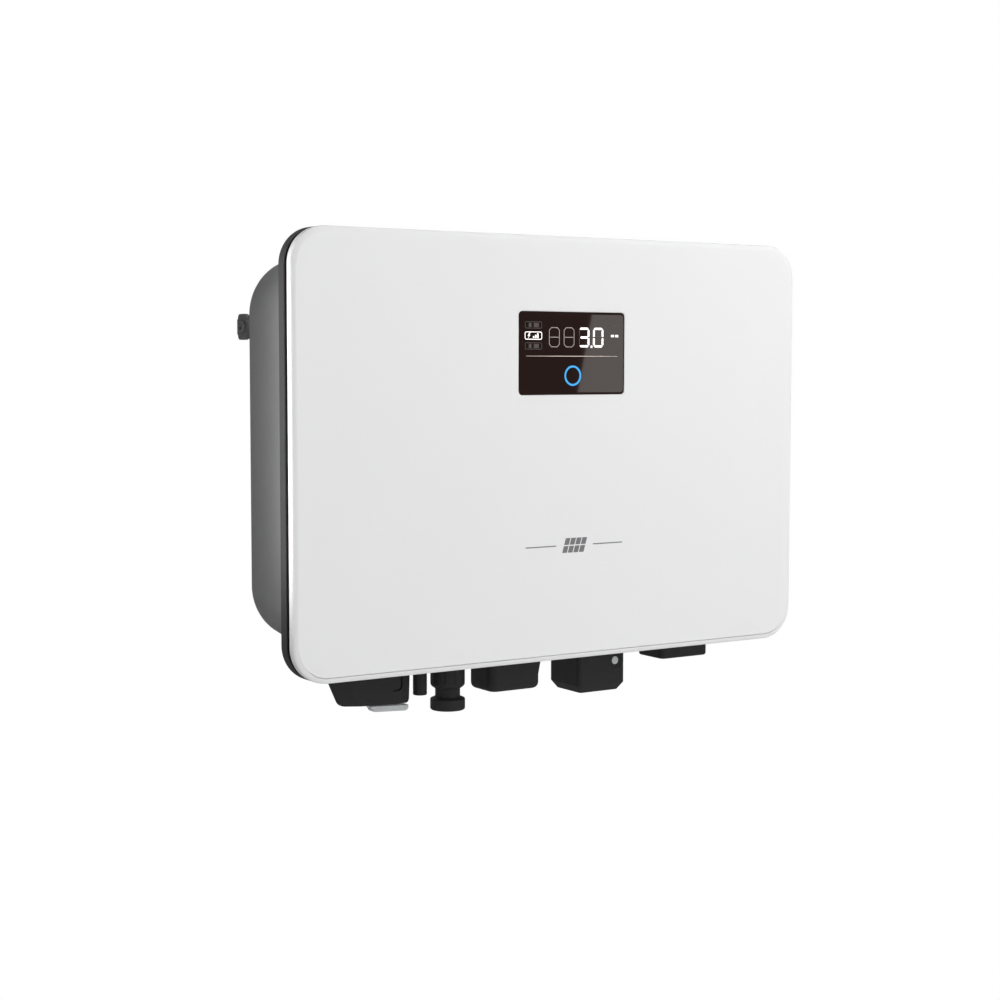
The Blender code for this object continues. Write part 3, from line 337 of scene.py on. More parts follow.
def around(count, radius, x, turn=0.0):
    """Vertical axes spaced evenly round a fitting."""
    angles = [2 * math.pi * i / count + turn for i in range(count)]
    return [(x + radius * math.cos(a), FIT_Y + radius * math.sin(a), 0) for a in angles]


def side_span(side, inner, outer):
    """The x range from inner to outer on one side, in rising order."""
    return sorted((side * inner, side * outer))


# ---- solids ----------------------------------------------------------------------------
def loft(rings, loop=False):
    """Skin the rings: capped at both ends, or closed from the last ring to the first."""
    bm = bmesh.new()
    made = [[bm.verts.new(p) for p in ring] for ring in rings]
    for a, b in list(zip(made, made[1:])) + ([(made[-1], made[0])] if loop else []):
        for i in range(len(a)):
            j = (i + 1) % len(a)
            bm.faces.new((a[i], a[j], b[j], b[i]))
    if not loop:
        bm.faces.new(made[0])
        bm.faces.new(list(reversed(made[-1])))
    bmesh.ops.recalc_face_normals(bm, faces=bm.faces)
    return bm


def soft_block(x0, x1, y0, y1, z0, z1, radius):
    """A box, with rounded edges unless the radius is zero."""
    bm = bmesh.new()
    bmesh.ops.create_cube(bm, size=1.0)
    bmesh.ops.scale(bm, vec=(x1 - x0, y1 - y0, z1 - z0), verts=bm.verts)
    centre = ((x0 + x1) / 2, (y0 + y1) / 2, (z0 + z1) / 2)
    bmesh.ops.translate(bm, vec=centre, verts=bm.verts)
    if radius:
        bmesh.ops.bevel(
            bm, geom=bm.edges[:], offset=radius, segments=3, profile=0.5, affect="EDGES")
    bmesh.ops.recalc_face_normals(bm, faces=bm.faces)
    return bm


def turned(profile, axis, at, steps=56, turn=0.0):
    """Revolve a profile of (radius, place along the axis) about an axis through at."""
    bm = bmesh.new()
    rows = []
    for radius, t in profile:
        row = []
        for i in range(steps if radius > 1e-6 else 1):
            angle = turn + 2 * math.pi * i / steps
            u, v = radius * math.cos(angle), radius * math.sin(angle)
            point = {"X": (t, u, v), "Y": (u, t, v), "Z": (u, v, t)}[axis]
            row.append(bm.verts.new(Vector(point) + Vector(at)))
        rows.append(row)
    on_axis = len(rows[0]) == 1 and len(rows[-1]) == 1
    for a, b in list(zip(rows, rows[1:])) + ([] if on_axis else [(rows[-1], rows[0])]):
        for i in range(steps):
            j = (i + 1) % steps
            quad = [a[i % len(a)], a[j % len(a)], b[j % len(b)], b[i % len(b)]]
            unique = list(dict.fromkeys(quad))
            if len(unique) > 2:
                bm.faces.new(unique)
    bmesh.ops.recalc_face_normals(bm, faces=bm.faces)
    return bm


def rod(radius, start, end, axis, at, steps=40, turn=0.0):
    return turned([(0, start), (radius, start), (radius, end), (0, end)], axis, at, steps, turn)


def slab_z(width, depth, radius, z0, z1, mid_x, mid_y=FIT_Y):
    return loft(rings_z([(width, depth, radius, z) for z in (z0, z1)], mid_x, mid_y))


def slab_y(width, height, radius, y0, y1, mid_x, mid_z):
    return loft([ring_y(width, height, radius, y, mid_x, mid_z) for y in (y0, y1)])


def flat_y(outline, y0, y1):
    """The (x, z) outline as a plate between two depths."""
    return loft([[Vector((x, y, z)) for x, z in outline] for y in (y0, y1)])


def prism_x(outline, x0, x1):
    """The (y, z) outline drawn out from x0 to x1."""
    return loft([[Vector((x, y, z)) for y, z in outline] for x in (x0, x1)])


def together(*shapes):
    mesh = bpy.data.meshes.new("gathered")
    bm = bmesh.new()
    for shape in shapes:
        shape.to_mesh(mesh)
        bm.from_mesh(mesh)
        shape.free()
    bpy.data.meshes.remove(mesh)
    return bm


# ---- objects ---------------------------------------------------------------------------
def bare(name, bm):
    """An object from a shape in millimetres, moved into the frame's metres."""
    bmesh.ops.translate(bm, vec=SHIFT, verts=bm.verts)
    bmesh.ops.scale(bm, vec=(MM, MM, MM), verts=bm.verts)
    mesh = bpy.data.meshes.new(name)
    bm.to_mesh(mesh)
    bm.free()
    obj = bpy.data.objects.new(name, mesh)
    bpy.context.scene.collection.objects.link(obj)
    return obj


def bake(obj):
    graph = bpy.context.evaluated_depsgraph_get()
    mesh = bpy.data.meshes.new_from_object(obj.evaluated_get(graph))
    obj.modifiers.clear()
    old, obj.data = obj.data, mesh
    bpy.data.meshes.remove(old)


def joined(*shapes):
    return "UNION", together(*shapes)


def cut(*shapes):
    return "DIFFERENCE", together(*shapes)


def boolean(obj, kind, shape):
    helper = bare("helper", shape)
    modifier = obj.modifiers.new(kind, "BOOLEAN")
    modifier.operation, modifier.object, modifier.solver = kind, helper, "EXACT"
    bake(obj)
    bpy.data.objects.remove(helper, do_unlink=True)


def finish(obj, material, body, smooth=32.0):
    """Material, shading smooth below an angle in degrees, and the body it rides on."""
    obj.data.materials.clear()
    obj.data.materials.append(material)
    obj.data.shade_smooth()
    obj.data.set_sharp_from_angle(angle=math.radians(smooth))
    # broad faces keep their own normals, so a narrow chamfer doesn't tilt their shading
    weighted = obj.modifiers.new("weighted", "WEIGHTED_NORMAL")
    weighted.keep_sharp, weighted.mode, weighted.weight = True, "FACE_AREA", 100
    bake(obj)
    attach(obj, body)


def piece(node, shape, *steps, smooth=32.0):
    """A fine piece for one CAD node: the shape, then its joined() and cut() steps in turn."""
    obj = bare(node + "_visual", shape)
    for kind, tool in steps:
        boolean(obj, kind, tool)
    finish(obj, MATERIALS[SLOT_OF[node]], BODY_OF[node], smooth)
    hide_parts(node)


def decal(name, shape, material):
    finish(bare(name, shape), material, "inverter")


# ---- front cover -----------------------------------------------------------------------
def crease(inset):
    """The crease where the face meets its edge: deep at the bottom, none higher up."""
    return [
        Vector((p.x, FACE_Y + 0.03 + 0.9 * max(0.0, min(1.0, (-104.5 - p.z) / 5.0)), p.z))
        for p in inset_ring(inset, FACE_Y)
    ]


# (inset, y) from the back of the rim round the edge to the face
COVER_EDGE = (
    (2.6, -2.5), (2.6, -0.1), (0.25, -0.1), (0.0, -0.35), (0.0, -3.5), (0.04, -3.75),
    (0.14, -3.95), (0.3, -4.12), (0.55, -4.28), (0.9, -4.45), (1.3, -4.6), (1.8, -4.76),
    (2.3, -4.88), (2.62, -4.93),
)
COVER_PEG = [(0, -3.2), (4.5, -3.2), (4.0, 1.5), (0, 1.5)]
piece(
    "front_cover",
    loft(
        inset_rings(*COVER_EDGE)
        + [crease(2.64), crease(2.95)]
        + inset_rings((2.99, FACE_Y), (4.6, FACE_Y))
    ),
    joined(*[turned(COVER_PEG, "Y", at, 28) for at in at_corners(128, 82)]),
    cut(loft(window_rings([
        (2.6, 3.4, -6.0), (2.3, 3.2, FACE_Y - 0.02), (0.3, 2.25, FACE_Y + 0.36), (0.3, 2.25, 0.5),
    ]))),
    smooth=40,
)
piece("cover_seal", loft(inset_rings(
    (0.6, 0.05), (0.4, 0.3), (0.35, 0.7), (0.35, 2.2), (0.4, 2.6), (0.6, 2.9), (5.0, 2.9),
    (5.0, 0.05),
), loop=True))


# ---- front frame: a band with a groove for the housing's seal ------------------------------
def screw_holes(y0, y1):
    return [rod(2.3, y0, y1, "Y", at, 28) for at in at_corners(SCREW_X, SCREW_Z)]


FRAME_LIP_Y, FRONT_ROUND, BACK_ROUND = FRAME_FRONT_Y + 1.1, 0.7, 0.9
GROOVE_Y = FRAME_BACK_Y - 1.9
piece(
    "front_frame",
    loft(
        inset_rings((5.4, FRAME_FRONT_Y), (5.4, FRAME_LIP_Y))
        + [
            inset_ring(FRONT_ROUND * (1 - sine), FRAME_LIP_Y + FRONT_ROUND * (1 - cosine))
            for sine, cosine in quarter(15)
        ]
        + [
            inset_ring(BACK_ROUND * (1 - cosine), FRAME_BACK_Y - BACK_ROUND * (1 - sine))
            for sine, cosine in quarter(15)
        ]
        + inner_rings(
            (8.6, FRAME_BACK_Y), (8.6, GROOVE_Y), (11.0, GROOVE_Y), (11.0, FRAME_BACK_Y),
            (14.0, FRAME_BACK_Y), (14.0, 4.4),
        )
    ),
    joined(*[
        rod(2.6, 4.0, 5.2, "Y", at, 20) for at in at_corners(39.5, 25.5, WINDOW_X, WINDOW_Z)
    ]),
    cut(slab_y(66.0, 41.0, 2.0, 1.0, 6.0, WINDOW_X, WINDOW_Z), *screw_holes(4.9, 10.4)),
)

# ---- display window --------------------------------------------------------------------
piece("display_window", loft(
    [ring_y(74.0, 49.0, 3.5, y, WINDOW_X, WINDOW_Z) for y in (-0.8, -2.2)]
    + window_rings([
        (0.0, 2.1, -2.2), (0.0, 2.1, GLASS_Y + 0.22), (-0.14, 2.05, GLASS_Y + 0.07),
        (-0.44, 1.9, GLASS_Y), (-2.4, 1.0, GLASS_Y),
    ])
))

# ---- display marks ---------------------------------------------------------------------
MARK_Y = (GLASS_Y - 0.035, GLASS_Y + 0.06)  # front and back of every mark
DIGIT_WIDTH, DIGIT_HEIGHT = 6.8, 10.5


def window_point(across, down):
    """A point of the window from its left and top, as shares of its width and height."""
    width, height = WINDOW_WIDTH - 0.6, WINDOW_HEIGHT - 0.6
    return WINDOW_X - width / 2 + across * width, WINDOW_Z + height / 2 - down * height


def mark(outline):
    return flat_y(outline, *MARK_Y)


def bar(x0, x1, z0, z1):
    return mark([(x0, z0), (x1, z0), (x1, z1), (x0, z1)])


def bar_at(x, z, half_width, half_height):
    return bar(x - half_width, x + half_width, z - half_height, z + half_height)


def box_outline(width, height, radius, stroke, x, z):
    """A rounded rectangular outline centred on x, z."""
    front, back = MARK_Y
    inside = (width - 2 * stroke, height - 2 * stroke, max(0.05, radius - stroke))
    rows = [(width, height, radius, front), (width, height, radius, back)]
    rows += [(*inside, back), (*inside, front)]
    return loft([ring_y(*row, x, z, 8) for row in rows], loop=True)


def unlit_eight(x, z, stroke=0.36, clip=1.5):
    """The outline of an eight with clipped corners, its lower left corner at x, z."""
    def octagon(inset, y):
        side = clip - 0.5858 * inset
        near, right, top = inset + side, DIGIT_WIDTH - inset, DIGIT_HEIGHT - inset
        points = [
            (near, inset), (right - side, inset), (right, near), (right, top - side),
            (right - side, top), (near, top), (inset, top - side), (inset, near),
        ]
        return [Vector((x + u, y, z + v)) for u, v in points]

    front, back = MARK_Y
    rings = [octagon(0, front), octagon(0, back), octagon(stroke, back), octagon(stroke, front)]
    gap, mid_z = stroke + 0.25, z + DIGIT_HEIGHT / 2
    waist = bar(x + gap, x + DIGIT_WIDTH - gap, mid_z - stroke / 2, mid_z + stroke / 2)
    return [loft(rings, loop=True), waist]


def lit_digit(x, z, which, stroke=1.15):
    """The lit segments of a digit, lettered a to g as on any seven-segment display."""
    wide, high, mid, slant = DIGIT_WIDTH, DIGIT_HEIGHT, DIGIT_HEIGHT / 2, stroke * 0.72

    def flip_x(points):
        return [(wide - u, v) for u, v in points]

    def flip_z(points):
        return [(u, high - v) for u, v in points]

    bottom = [
        (0.4, 0.85), (1.25, 0), (wide - 1.25, 0), (wide - 0.4, 0.85),
        (wide - 0.4 - slant, stroke), (0.4 + slant, stroke),
    ]
    lower_right = [
        (wide, mid - 0.3), (wide, 1.25), (wide - 0.3, 1.1),
        (wide - stroke, stroke + 0.45), (wide - stroke, mid - 0.5),
    ]
    waist = [
        (0.85, mid), (1.35, mid + stroke / 2), (wide - 1.35, mid + stroke / 2),
        (wide - 0.85, mid), (wide - 1.35, mid - stroke / 2), (1.35, mid - stroke / 2),
    ]
    segments = {
        "a": flip_z(bottom), "b": flip_z(lower_right), "c": lower_right, "d": bottom,
        "e": flip_x(lower_right), "f": flip_x(flip_z(lower_right)), "g": waist,
    }
    return [mark([(x + u, z + v) for u, v in segments[letter]]) for letter in which]


digit_x = [window_point(across, 0.425)[0] for across in (0.277, 0.417, 0.562, 0.698)]
digit_z = window_point(0, 0.425)[1]
icons = [window_point(0.131, down) for down in (0.157, 0.286, 0.412)]

# two lit digits with a point between them
lit = lit_digit(digit_x[2], digit_z, "abgcd") + lit_digit(digit_x[3], digit_z, "abcdef")
lit.append(soft_block(
    digit_x[3] - 1.55, digit_x[3] - 0.45, *MARK_Y, digit_z - 0.25, digit_z + 0.95, 0.0))
# the middle icon: a box round a zigzag and three rising bars
icon_x, icon_z = icons[1]
ZIGZAG = (
    (-2.6, 1.6), (-3.7, -0.25), (-2.9, -0.25), (-3.5, -1.7), (-1.9, 0.35), (-2.7, 0.35),
    (-1.9, 1.6),
)
lit.append(box_outline(10.9, 4.2, 1.0, 0.4, icon_x, icon_z))
lit.append(mark([(icon_x + u, icon_z + v) for u, v in ZIGZAG]))
lit += [
    bar(icon_x + u, icon_x + u + 0.85, icon_z - 1.3, icon_z - 1.3 + height)
    for u, height in ((-0.3, 1.0), (1.0, 1.7), (2.3, 2.5))
]
# two short bars at the upper right
unit_x, unit_z = window_point(0.909, 0.2815)
lit += [bar(unit_x + u, unit_x + u + 2.0, unit_z - 0.6, unit_z + 0.6) for u in (-2.4, 0.4)]
decal("display_lit_marks", together(*lit), LIT)

# the two unlit eights, with a faint painted glow
dim = unlit_eight(digit_x[0], digit_z) + unlit_eight(digit_x[1], digit_z)
decal("display_unlit_digits", together(*dim), DIM)

# unlit segments of the lit digits, the other two icons and two bars at the right, with a faint
# painted glow
faint = [
    bar(digit_x[2] + 0.1, digit_x[2] + 0.55, digit_z + low, digit_z + high)
    for low, high in ((1.4, 5.3), (6.1, 10.0))
]
faint.append(bar(
    digit_x[3] + 1.7, digit_x[3] + DIGIT_WIDTH - 1.7, digit_z + 5.55, digit_z + 5.95))
for x, z in (icons[0], icons[2]):
    faint.append(box_outline(10.7, 3.6, 0.7, 0.3, x, z))
    faint += [bar(x + u0, x + u1, z - 1.1, z + 1.1) for u0, u1 in ((-3.0, -1.2), (0.2, 3.4))]
faint.append(bar_at(*window_point(0.898, 0.158), 3.2, 0.5))
faint.append(bar_at(*window_point(0.932, 0.405), 0.9, 0.5))
decal("display_faint_marks", together(*faint), FAINT)
decal("display_rule", bar_at(WINDOW_X, window_point(0, 0.5345)[1], 29.5, 0.11), RULE)

# a plain round ring over the light guide behind the window
light_guide = (middle("indicator_light_guide", "X"), 0, middle("indicator_light_guide", "Z"))
TOUCH_RING = [
    (4.35, GLASS_Y + 0.06), (4.35, GLASS_Y - 0.01), (4.5, GLASS_Y - 0.035),
    (5.25, GLASS_Y - 0.035), (5.4, GLASS_Y - 0.01), (5.4, GLASS_Y + 0.06),
]
decal("touch_mark", turned(TOUCH_RING, "Y", light_guide, 72), TOUCH)

# ---- panel pictogram: four by two slanted cells between two dashes -----------------------
PANEL_X, PANEL_Z = 7.0, -51.2


def panel_point(u, v):
    """Panel coordinates 0..1 to the cover's face; the panel leans to the right."""
    return PANEL_X - 8.5 + 14.5 * u + 2.5 * v, PANEL_Z - 4.2 + 8.4 * v


outlines = []
for i in range(4):
    for j in range(2):
        u0, u1 = i / 4 + 0.02, (i + 1) / 4 - 0.02
        v0, v1 = j / 2 + 0.035, (j + 1) / 2 - 0.035
        outlines.append([panel_point(u, v) for u, v in ((u0, v0), (u1, v0), (u1, v1), (u0, v1))])
for x0, x1 in ((-24.5, -5.0), (19.0, 38.5)):
    z0, z1 = PANEL_Z - 0.3, PANEL_Z + 0.3
    outlines.append([(x0, z0), (x1, z0), (x1, z1), (x0, z1)])
printed = [flat_y(outline, -5.0, FACE_Y + 0.05) for outline in outlines]
decal("panel_pictogram", together(*printed), MARK_GREY)

# ---- rear housing ----------------------------------------------------------------------
# (y, half thickness, half height) of a fin from root to tip
FIN_STATIONS = (
    (70.0, 1.75, 86.6), (72.2, 1.3, 86.0), (99.0, 1.02, 85.0), (100.6, 0.95, 83.4),
    (101.5, 0.72, 82.2), (FIN_TIP_Y, 0.3, 81.4),
)
# (width, depth, corner radius, z) of the shelf, downwards
SHELF_STATIONS = (
    (262.0, 40.0, 8.0, -100.2), (258.4, 36.4, 6.2, -102.6), (258.0, 36.0, 6.0, SHELF_Z + 1.0),
    (257.4, 35.4, 5.7, SHELF_Z + 0.3), (256.0, 34.0, 5.0, SHELF_Z),
)
# (radius, y) of the posts below the bracket
POST_PROFILE = [
    (0, 70), (7.6, 70), (6.5, 73), (5.7, 112.6), (5.3, 114.2), (4.5, 114.7), (0, 114.7),
]
BACK_EDGE = 2.9
ROUND_HOLES = (  # (radius, x)
    (4.6, SWITCH_X), (5.5, NEGATIVE_X), (6.5, POSITIVE_X), (4.1, VENT_X), (2.3, EARTH_X))
SQUARE_HOLES = (  # (width, depth, corner radius, x, y)
    (22.0, 13.0, 3.4, AC_X, FIT_Y), (19.0, 11.0, 2.4, DONGLE_X, DONGLE_Y),
    (17.0, 13.0, 2.4, COM_X, FIT_Y))


def fin(x):
    """A cast fin: drafted from root to tip, with a rounded tip edge and sloped ends."""
    rings = []
    for y, t, z in FIN_STATIONS:
        upper = [(t, z - t), (t * 0.7, z - 0.3 * t), (0, z), (-t * 0.7, z - 0.3 * t), (-t, z - t)]
        points = upper + [(-u, -v) for u, v in upper]
        rings.append([Vector((x + u, y, v)) for u, v in points])
    return loft(rings)


def security_notch(side):
    """A slot through a lug, round at the top and open at the bottom."""
    top = [
        (SECURITY_Y + 2.5 * math.cos(math.pi * i / 16), SECURITY_Z + 2.5 * math.sin(math.pi * i / 16))
        for i in range(17)
    ]
    outline = top + [(SECURITY_Y - 2.5, 50.0), (SECURITY_Y + 2.5, 50.0)]
    return prism_x(outline, *side_span(side, LUG_X0 - 2, LUG_X1 + 2))


piece(
    "rear_housing",
    loft(
        inset_rings(
            (15.6, HOUSING_FLOOR_Y, 26.4),
            (11.2, FLANGE_FRONT_Y, 22.8),
            (3.9, FLANGE_FRONT_Y),
            (3.5, FLANGE_FRONT_Y + 0.4),
            (3.5, FLANGE_BACK_Y - 0.5),
            (4.0, FLANGE_BACK_Y),
            (6.6, FLANGE_BACK_Y, 26.8),
            (7.2, FLANGE_BACK_Y + 0.35, 26.6),
            (7.7, FLANGE_BACK_Y + 1.0, 26.2),
            (8.1, FLANGE_BACK_Y + 2.0, 25.9),
        )
        + [
            inset_ring(
                12.2 + BACK_EDGE * (1 - cosine),
                HOUSING_BACK_Y - BACK_EDGE * (1 - sine),
                29.8 - BACK_EDGE * (1 - cosine),
            )
            for sine, cosine in quarter(10)
        ]
    ),
    joined(*[fin(FIN_PITCH * (i - (FIN_COUNT - 1) / 2)) for i in range(FIN_COUNT)]),
    # the shelf and the side lugs
    joined(
        loft(rings_z(SHELF_STATIONS, 1.0, 42.0)),
        *[
            soft_block(
                *side_span(side, LUG_X0, LUG_X1), HOUSING_BACK_Y - 1.0, 112.0, 58.8, 71.8, 0.9)
            for side in SIDES
        ],
    ),
    # blocks behind the hanger screws, and the posts
    joined(
        *[
            soft_block(
                side * TONGUE_X - 14, side * TONGUE_X + 14,
                HOUSING_BACK_Y - 1.0, FIN_TIP_Y, 53.0, 80.0, 0.7)
            for side in SIDES
        ],
        *[turned(POST_PROFILE, "Y", (side * 91.8, 0, -74.0), 32) for side in SIDES],
    ),
    cut(
        *screw_holes(9.0, 14.5),
        *[
            rod(2.3, 90.0, FIN_TIP_Y + 1, "Y", (side * TONGUE_X, 0, HANGER_SCREW_Z), 24)
            for side in SIDES
        ],
        *[security_notch(side) for side in SIDES],
        *[rod(radius, *SHELF_CUT, "Z", fit_at(x)) for radius, x in ROUND_HOLES],
        *[slab_z(*size, *SHELF_CUT, x, y) for *size, x, y in SQUARE_HOLES],
    ),
    smooth=38,
)
piece("housing_seal", loft(
    inner_rings((8.9, 7.9), (8.9, 9.6), (10.7, 9.6), (10.7, 7.9)), loop=True))


# ---- screws ----------------------------------------------------------------------------
def screw(node, axis, at, seat, way, head_radius, head_height, length, shank=1.95, socket=1.6):
    """A pan head with a rounded crown, a hexagon recess and a ringed shank.

    seat is where the head sits along the axis, way the shank's direction from there.
    """
    out = -way
    profile = [(0, seat + way * length), (shank - 0.45, seat + way * length)]
    t = length - 0.5
    while t > 0.9:
        profile += [(shank, seat + way * t), (shank - 0.22, seat + way * (t - 0.35))]
        t -= 0.7
    profile += [
        (shank, seat + way * 0.4), (shank, seat), (head_radius - 0.1, seat),
        (head_radius, seat + out * 0.12),
    ]
    profile += [
        (head_radius * (0.72 + 0.28 * cosine), seat + out * head_height * (0.5 + 0.5 * sine))
        for sine, cosine in quarter(15)
    ]
    profile.append((0, seat + out * head_height))
    span = sorted((seat + out * (head_height + 0.5), seat + out * head_height * 0.35))
    recess = rod(socket, *span, axis, at, 6, math.pi / 6)
    piece(node, turned(profile, axis, at, 32), cut(recess), smooth=30)


for n, (side_x, side_z) in enumerate(((-1, 1), (1, 1), (1, -1), (-1, -1)), 1):
    screw(
        f"cover_screw_{n}", "Y", (side_x * SCREW_X, 0, side_z * SCREW_Z),
        seat=FLANGE_BACK_Y + 0.3, way=-1, head_radius=3.5, head_height=2.6, length=8.4)
for side, word in zip(SIDES, ("left", "right")):
    screw(
        f"hanger_screw_{word}", "Y", (side * TONGUE_X, 0, HANGER_SCREW_Z),
        seat=104.6, way=-1, head_radius=3.6, head_height=2.4, length=12.0)
    screw(
        f"security_screw_{word}", "X", (0, SECURITY_Y, SECURITY_Z), seat=side * (EAR_X1 + 0.3),
        way=-side, head_radius=2.9, head_height=1.5, length=9.0, shank=1.9, socket=1.75)
screw(
    "earth_screw", "Z", fit_at(EARTH_X),
    seat=-106.6, way=1, head_radius=3.8, head_height=2.8, length=10.0)
WASHER_PROFILE = [
    (2.3, SEAT_Z), (4.8, SEAT_Z), (5.0, -105.5), (5.0, -106.1), (4.8, -106.3), (2.3, -106.3),
]
piece("earth_washer", turned(WASHER_PROFILE, "Z", fit_at(EARTH_X), 40))

# ---- bracket and hanger ----------------------------------------------------------------
BRACKET_OUTLINE = [  # (x, z)
    (-EAR_X1, 61.2), (-124.0, 61.2), (-118.0, 50.0), (118.0, 50.0), (124.0, 61.2),
    (EAR_X1, 61.2), (EAR_X1, 69.4), (124.0, 69.4), (118.0, 80.0), (-118.0, 80.0),
    (-124.0, 69.4), (-EAR_X1, 69.4),
]
EAR_OUTLINE = [(109.1 + u, SECURITY_Z + v) for u, v in rounded(11.0, 14.0, 2.8, 8)]
TONGUE_OUTLINE = [  # (y, z)
    (113.5, 77.5), (105.6, 77.5), (105.0, 78.1), (105.0, 89.4), (105.2, 89.85), (105.6, 90.0),
    (107.0, 90.0), (107.4, 89.8), (107.5, 89.4), (107.5, 79.7), (113.5, 79.7),
]
piece(
    "wall_bracket",
    flat_y(BRACKET_OUTLINE, 112.5, WALL_Y),
    joined(
        *[prism_x(EAR_OUTLINE, *side_span(side, EAR_X0, EAR_X1 - 0.2)) for side in SIDES],
        *[
            prism_x(TONGUE_OUTLINE, side * TONGUE_X - 18, side * TONGUE_X + 18)
            for side in SIDES
        ],
    ),
    cut(
        *[slab_y(12.0, 6.4, 3.2, 111.0, 117.0, side * 98.0, BRACKET_Z) for side in SIDES],
        *[rod(3.2, 111.0, 117.0, "Y", (side * 22.0, 0, BRACKET_Z)) for side in SIDES],
        *[
            rod(2.2, *side_span(side, 130, 136), "X", (0, SECURITY_Y, SECURITY_Z))
            for side in SIDES
        ],
    ),
)
RAIL_OUTLINE = [  # (y, z)
    (102.3, 54.0), (104.3, 54.0), (104.3, 90.3), (109.0, 90.3), (109.0, 81.5), (111.0, 81.5),
    (111.0, 91.3), (110.8, 91.9), (110.3, 92.3), (103.0, 92.3), (102.5, 91.9), (102.3, 91.3),
]
piece(
    "hanger_rail",
    prism_x(RAIL_OUTLINE, -80.0, 80.0),
    cut(
        *[
            rod(2.3, 101.0, 105.5, "Y", (side * TONGUE_X, 0, HANGER_SCREW_Z))
            for side in SIDES
        ],
        soft_block(-24.0, 24.0, 100.0, 113.0, 50.0, 84.0, 2.0),
    ),
)

# ---- DC switch -------------------------------------------------------------------------
SWITCH_AT = fit_at(SWITCH_X)
# three small notches in the ring: x0, x1, y0, y1 from the switch's axis
NOTCHES = ((-16.7, -16.2, -0.5, 0.5), (16.2, 16.7, -0.5, 0.5), (-0.5, 0.5, -16.7, -16.2))
ring_edge = [(15.8 + 1.2 * s, -106.6 - 1.2 * c) for s, c in quarter(15, start=15)]
ring_profile = [(4.6, -107.6), (4.8, -107.8), (15.8, -107.8)] + ring_edge
ring_profile += [(17.0, SEAT_Z), (4.6, SEAT_Z)]
piece(
    "dc_switch_ring",
    turned(ring_profile, "Z", SWITCH_AT, 72),
    cut(*[
        soft_block(
            SWITCH_X + x0, SWITCH_X + x1, FIT_Y + y0, FIT_Y + y1, -109.0, -107.5, 0.0)
        for x0, x1, y0, y1 in NOTCHES
    ]),
)


def grip(z, left, right, thick, end, fall=0.0, steps=5, reach=0.9):
    """A ring round the grip: left and right of the axis, thick in the middle, end at its ends.

    Its corners are rounded over reach, and it drops by fall towards the right.
    """
    side, tip = thick / 2, end / 2
    corners = [
        (-left, -tip), (-left + 9, -side), (right - 7, -side), (right, -tip),
        (right, tip), (right - 7, side), (-left + 9, side), (-left, tip),
    ]
    points = []
    for i, corner in enumerate(corners):
        a, b = [
            [corner[m] + (other[m] - corner[m]) * reach / math.dist(other, corner) for m in (0, 1)]
            for other in (corners[i - 1], corners[(i + 1) % 8])
        ]
        for k in range(steps + 1):
            s = k / steps
            points.append([
                (1 - s) ** 2 * a[m] + 2 * s * (1 - s) * corner[m] + s * s * b[m] for m in (0, 1)
            ])
    return [
        Vector((SWITCH_X + u, FIT_Y + v, z - fall * (u + left) / (left + right)))
        for u, v in points
    ]


def hook(half=0.6, radius=2.6):
    """The outline of a J: a line down the grip that turns to the left at its foot."""
    x, z, top = SWITCH_X + 17.0, -127.6, -112.8

    def bend(r):
        return [(x - radius + r * cosine, z + radius - r * sine) for sine, cosine in quarter(10)]

    outer = [(x + half, top)] + bend(radius + half) + [(x - 5.2, z - half)]
    inner = [(x - 5.2, z + half)] + bend(radius - half)[::-1] + [(x - half, top)]
    return outer + inner


GRIP_STATIONS = (  # (z, left, right, thick, end[, fall])
    (-110.6, 26.0, 23.6, 10.4, 4.0),
    (-111.0, 26.5, 24.1, 10.9, 4.3),
    (-111.6, 26.6, 24.2, 11.0, 4.4),
    (-116.0, 26.1, 24.0, 11.0, 4.2),
    (-131.8, 19.1, 23.6, 9.8, 3.6, 1.6),
    (-132.7, 18.5, 23.4, 9.5, 3.4, 1.6),
    (-133.5, 17.6, 23.1, 8.9, 3.0, 1.6),
    (-133.9, 16.7, 22.7, 8.3, 2.7, 1.6),
    (-134.1, 15.9, 22.4, 7.8, 2.4, 1.6),
)
disc_profile = [(0, -112.4), (15.0, -112.4)]
disc_profile += [(15.0 + s, -111.4 - c) for s, c in quarter(15, start=15)]
disc_profile += [(16.0, -108.4), (15.8, -108.2), (0, -108.2)]
piece(
    "dc_switch_handle",
    loft([grip(*station) for station in GRIP_STATIONS]),
    joined(turned(disc_profile, "Z", SWITCH_AT, 72)),
    cut(
        rod(4.3, -114.6, -107.0, "Z", SWITCH_AT),
        soft_block(
            SWITCH_X - 0.9, SWITCH_X + 20.9, FIT_Y - 2.2, FIT_Y + 2.2, -137.0, -119.0, 0.3),
        *[flat_y(hook(), *sorted((FIT_Y + s * 3.7, FIT_Y + s * 7.0))) for s in SIDES],
    ),
    smooth=28,
)
SHAFT_PROFILE = [
    (0, -114.2), (3.4, -114.2), (4.0, -113.6), (4.0, -92.0), (3.4, -91.4), (0, -91.4),
]
piece("dc_switch_shaft", turned(SHAFT_PROFILE, "Z", SWITCH_AT))


def foot(left, right, half_depth, z):
    """A ring of the lock tab's foot, x from the switch's axis, lower towards its right end."""
    mid = (left + right) / 2
    return [
        Vector((SWITCH_X + mid + u, FIT_Y + v, z - 0.055 * (mid + u + 0.9)))
        for u, v in rounded(right - left, 2 * half_depth, 0.7, 6)
    ]


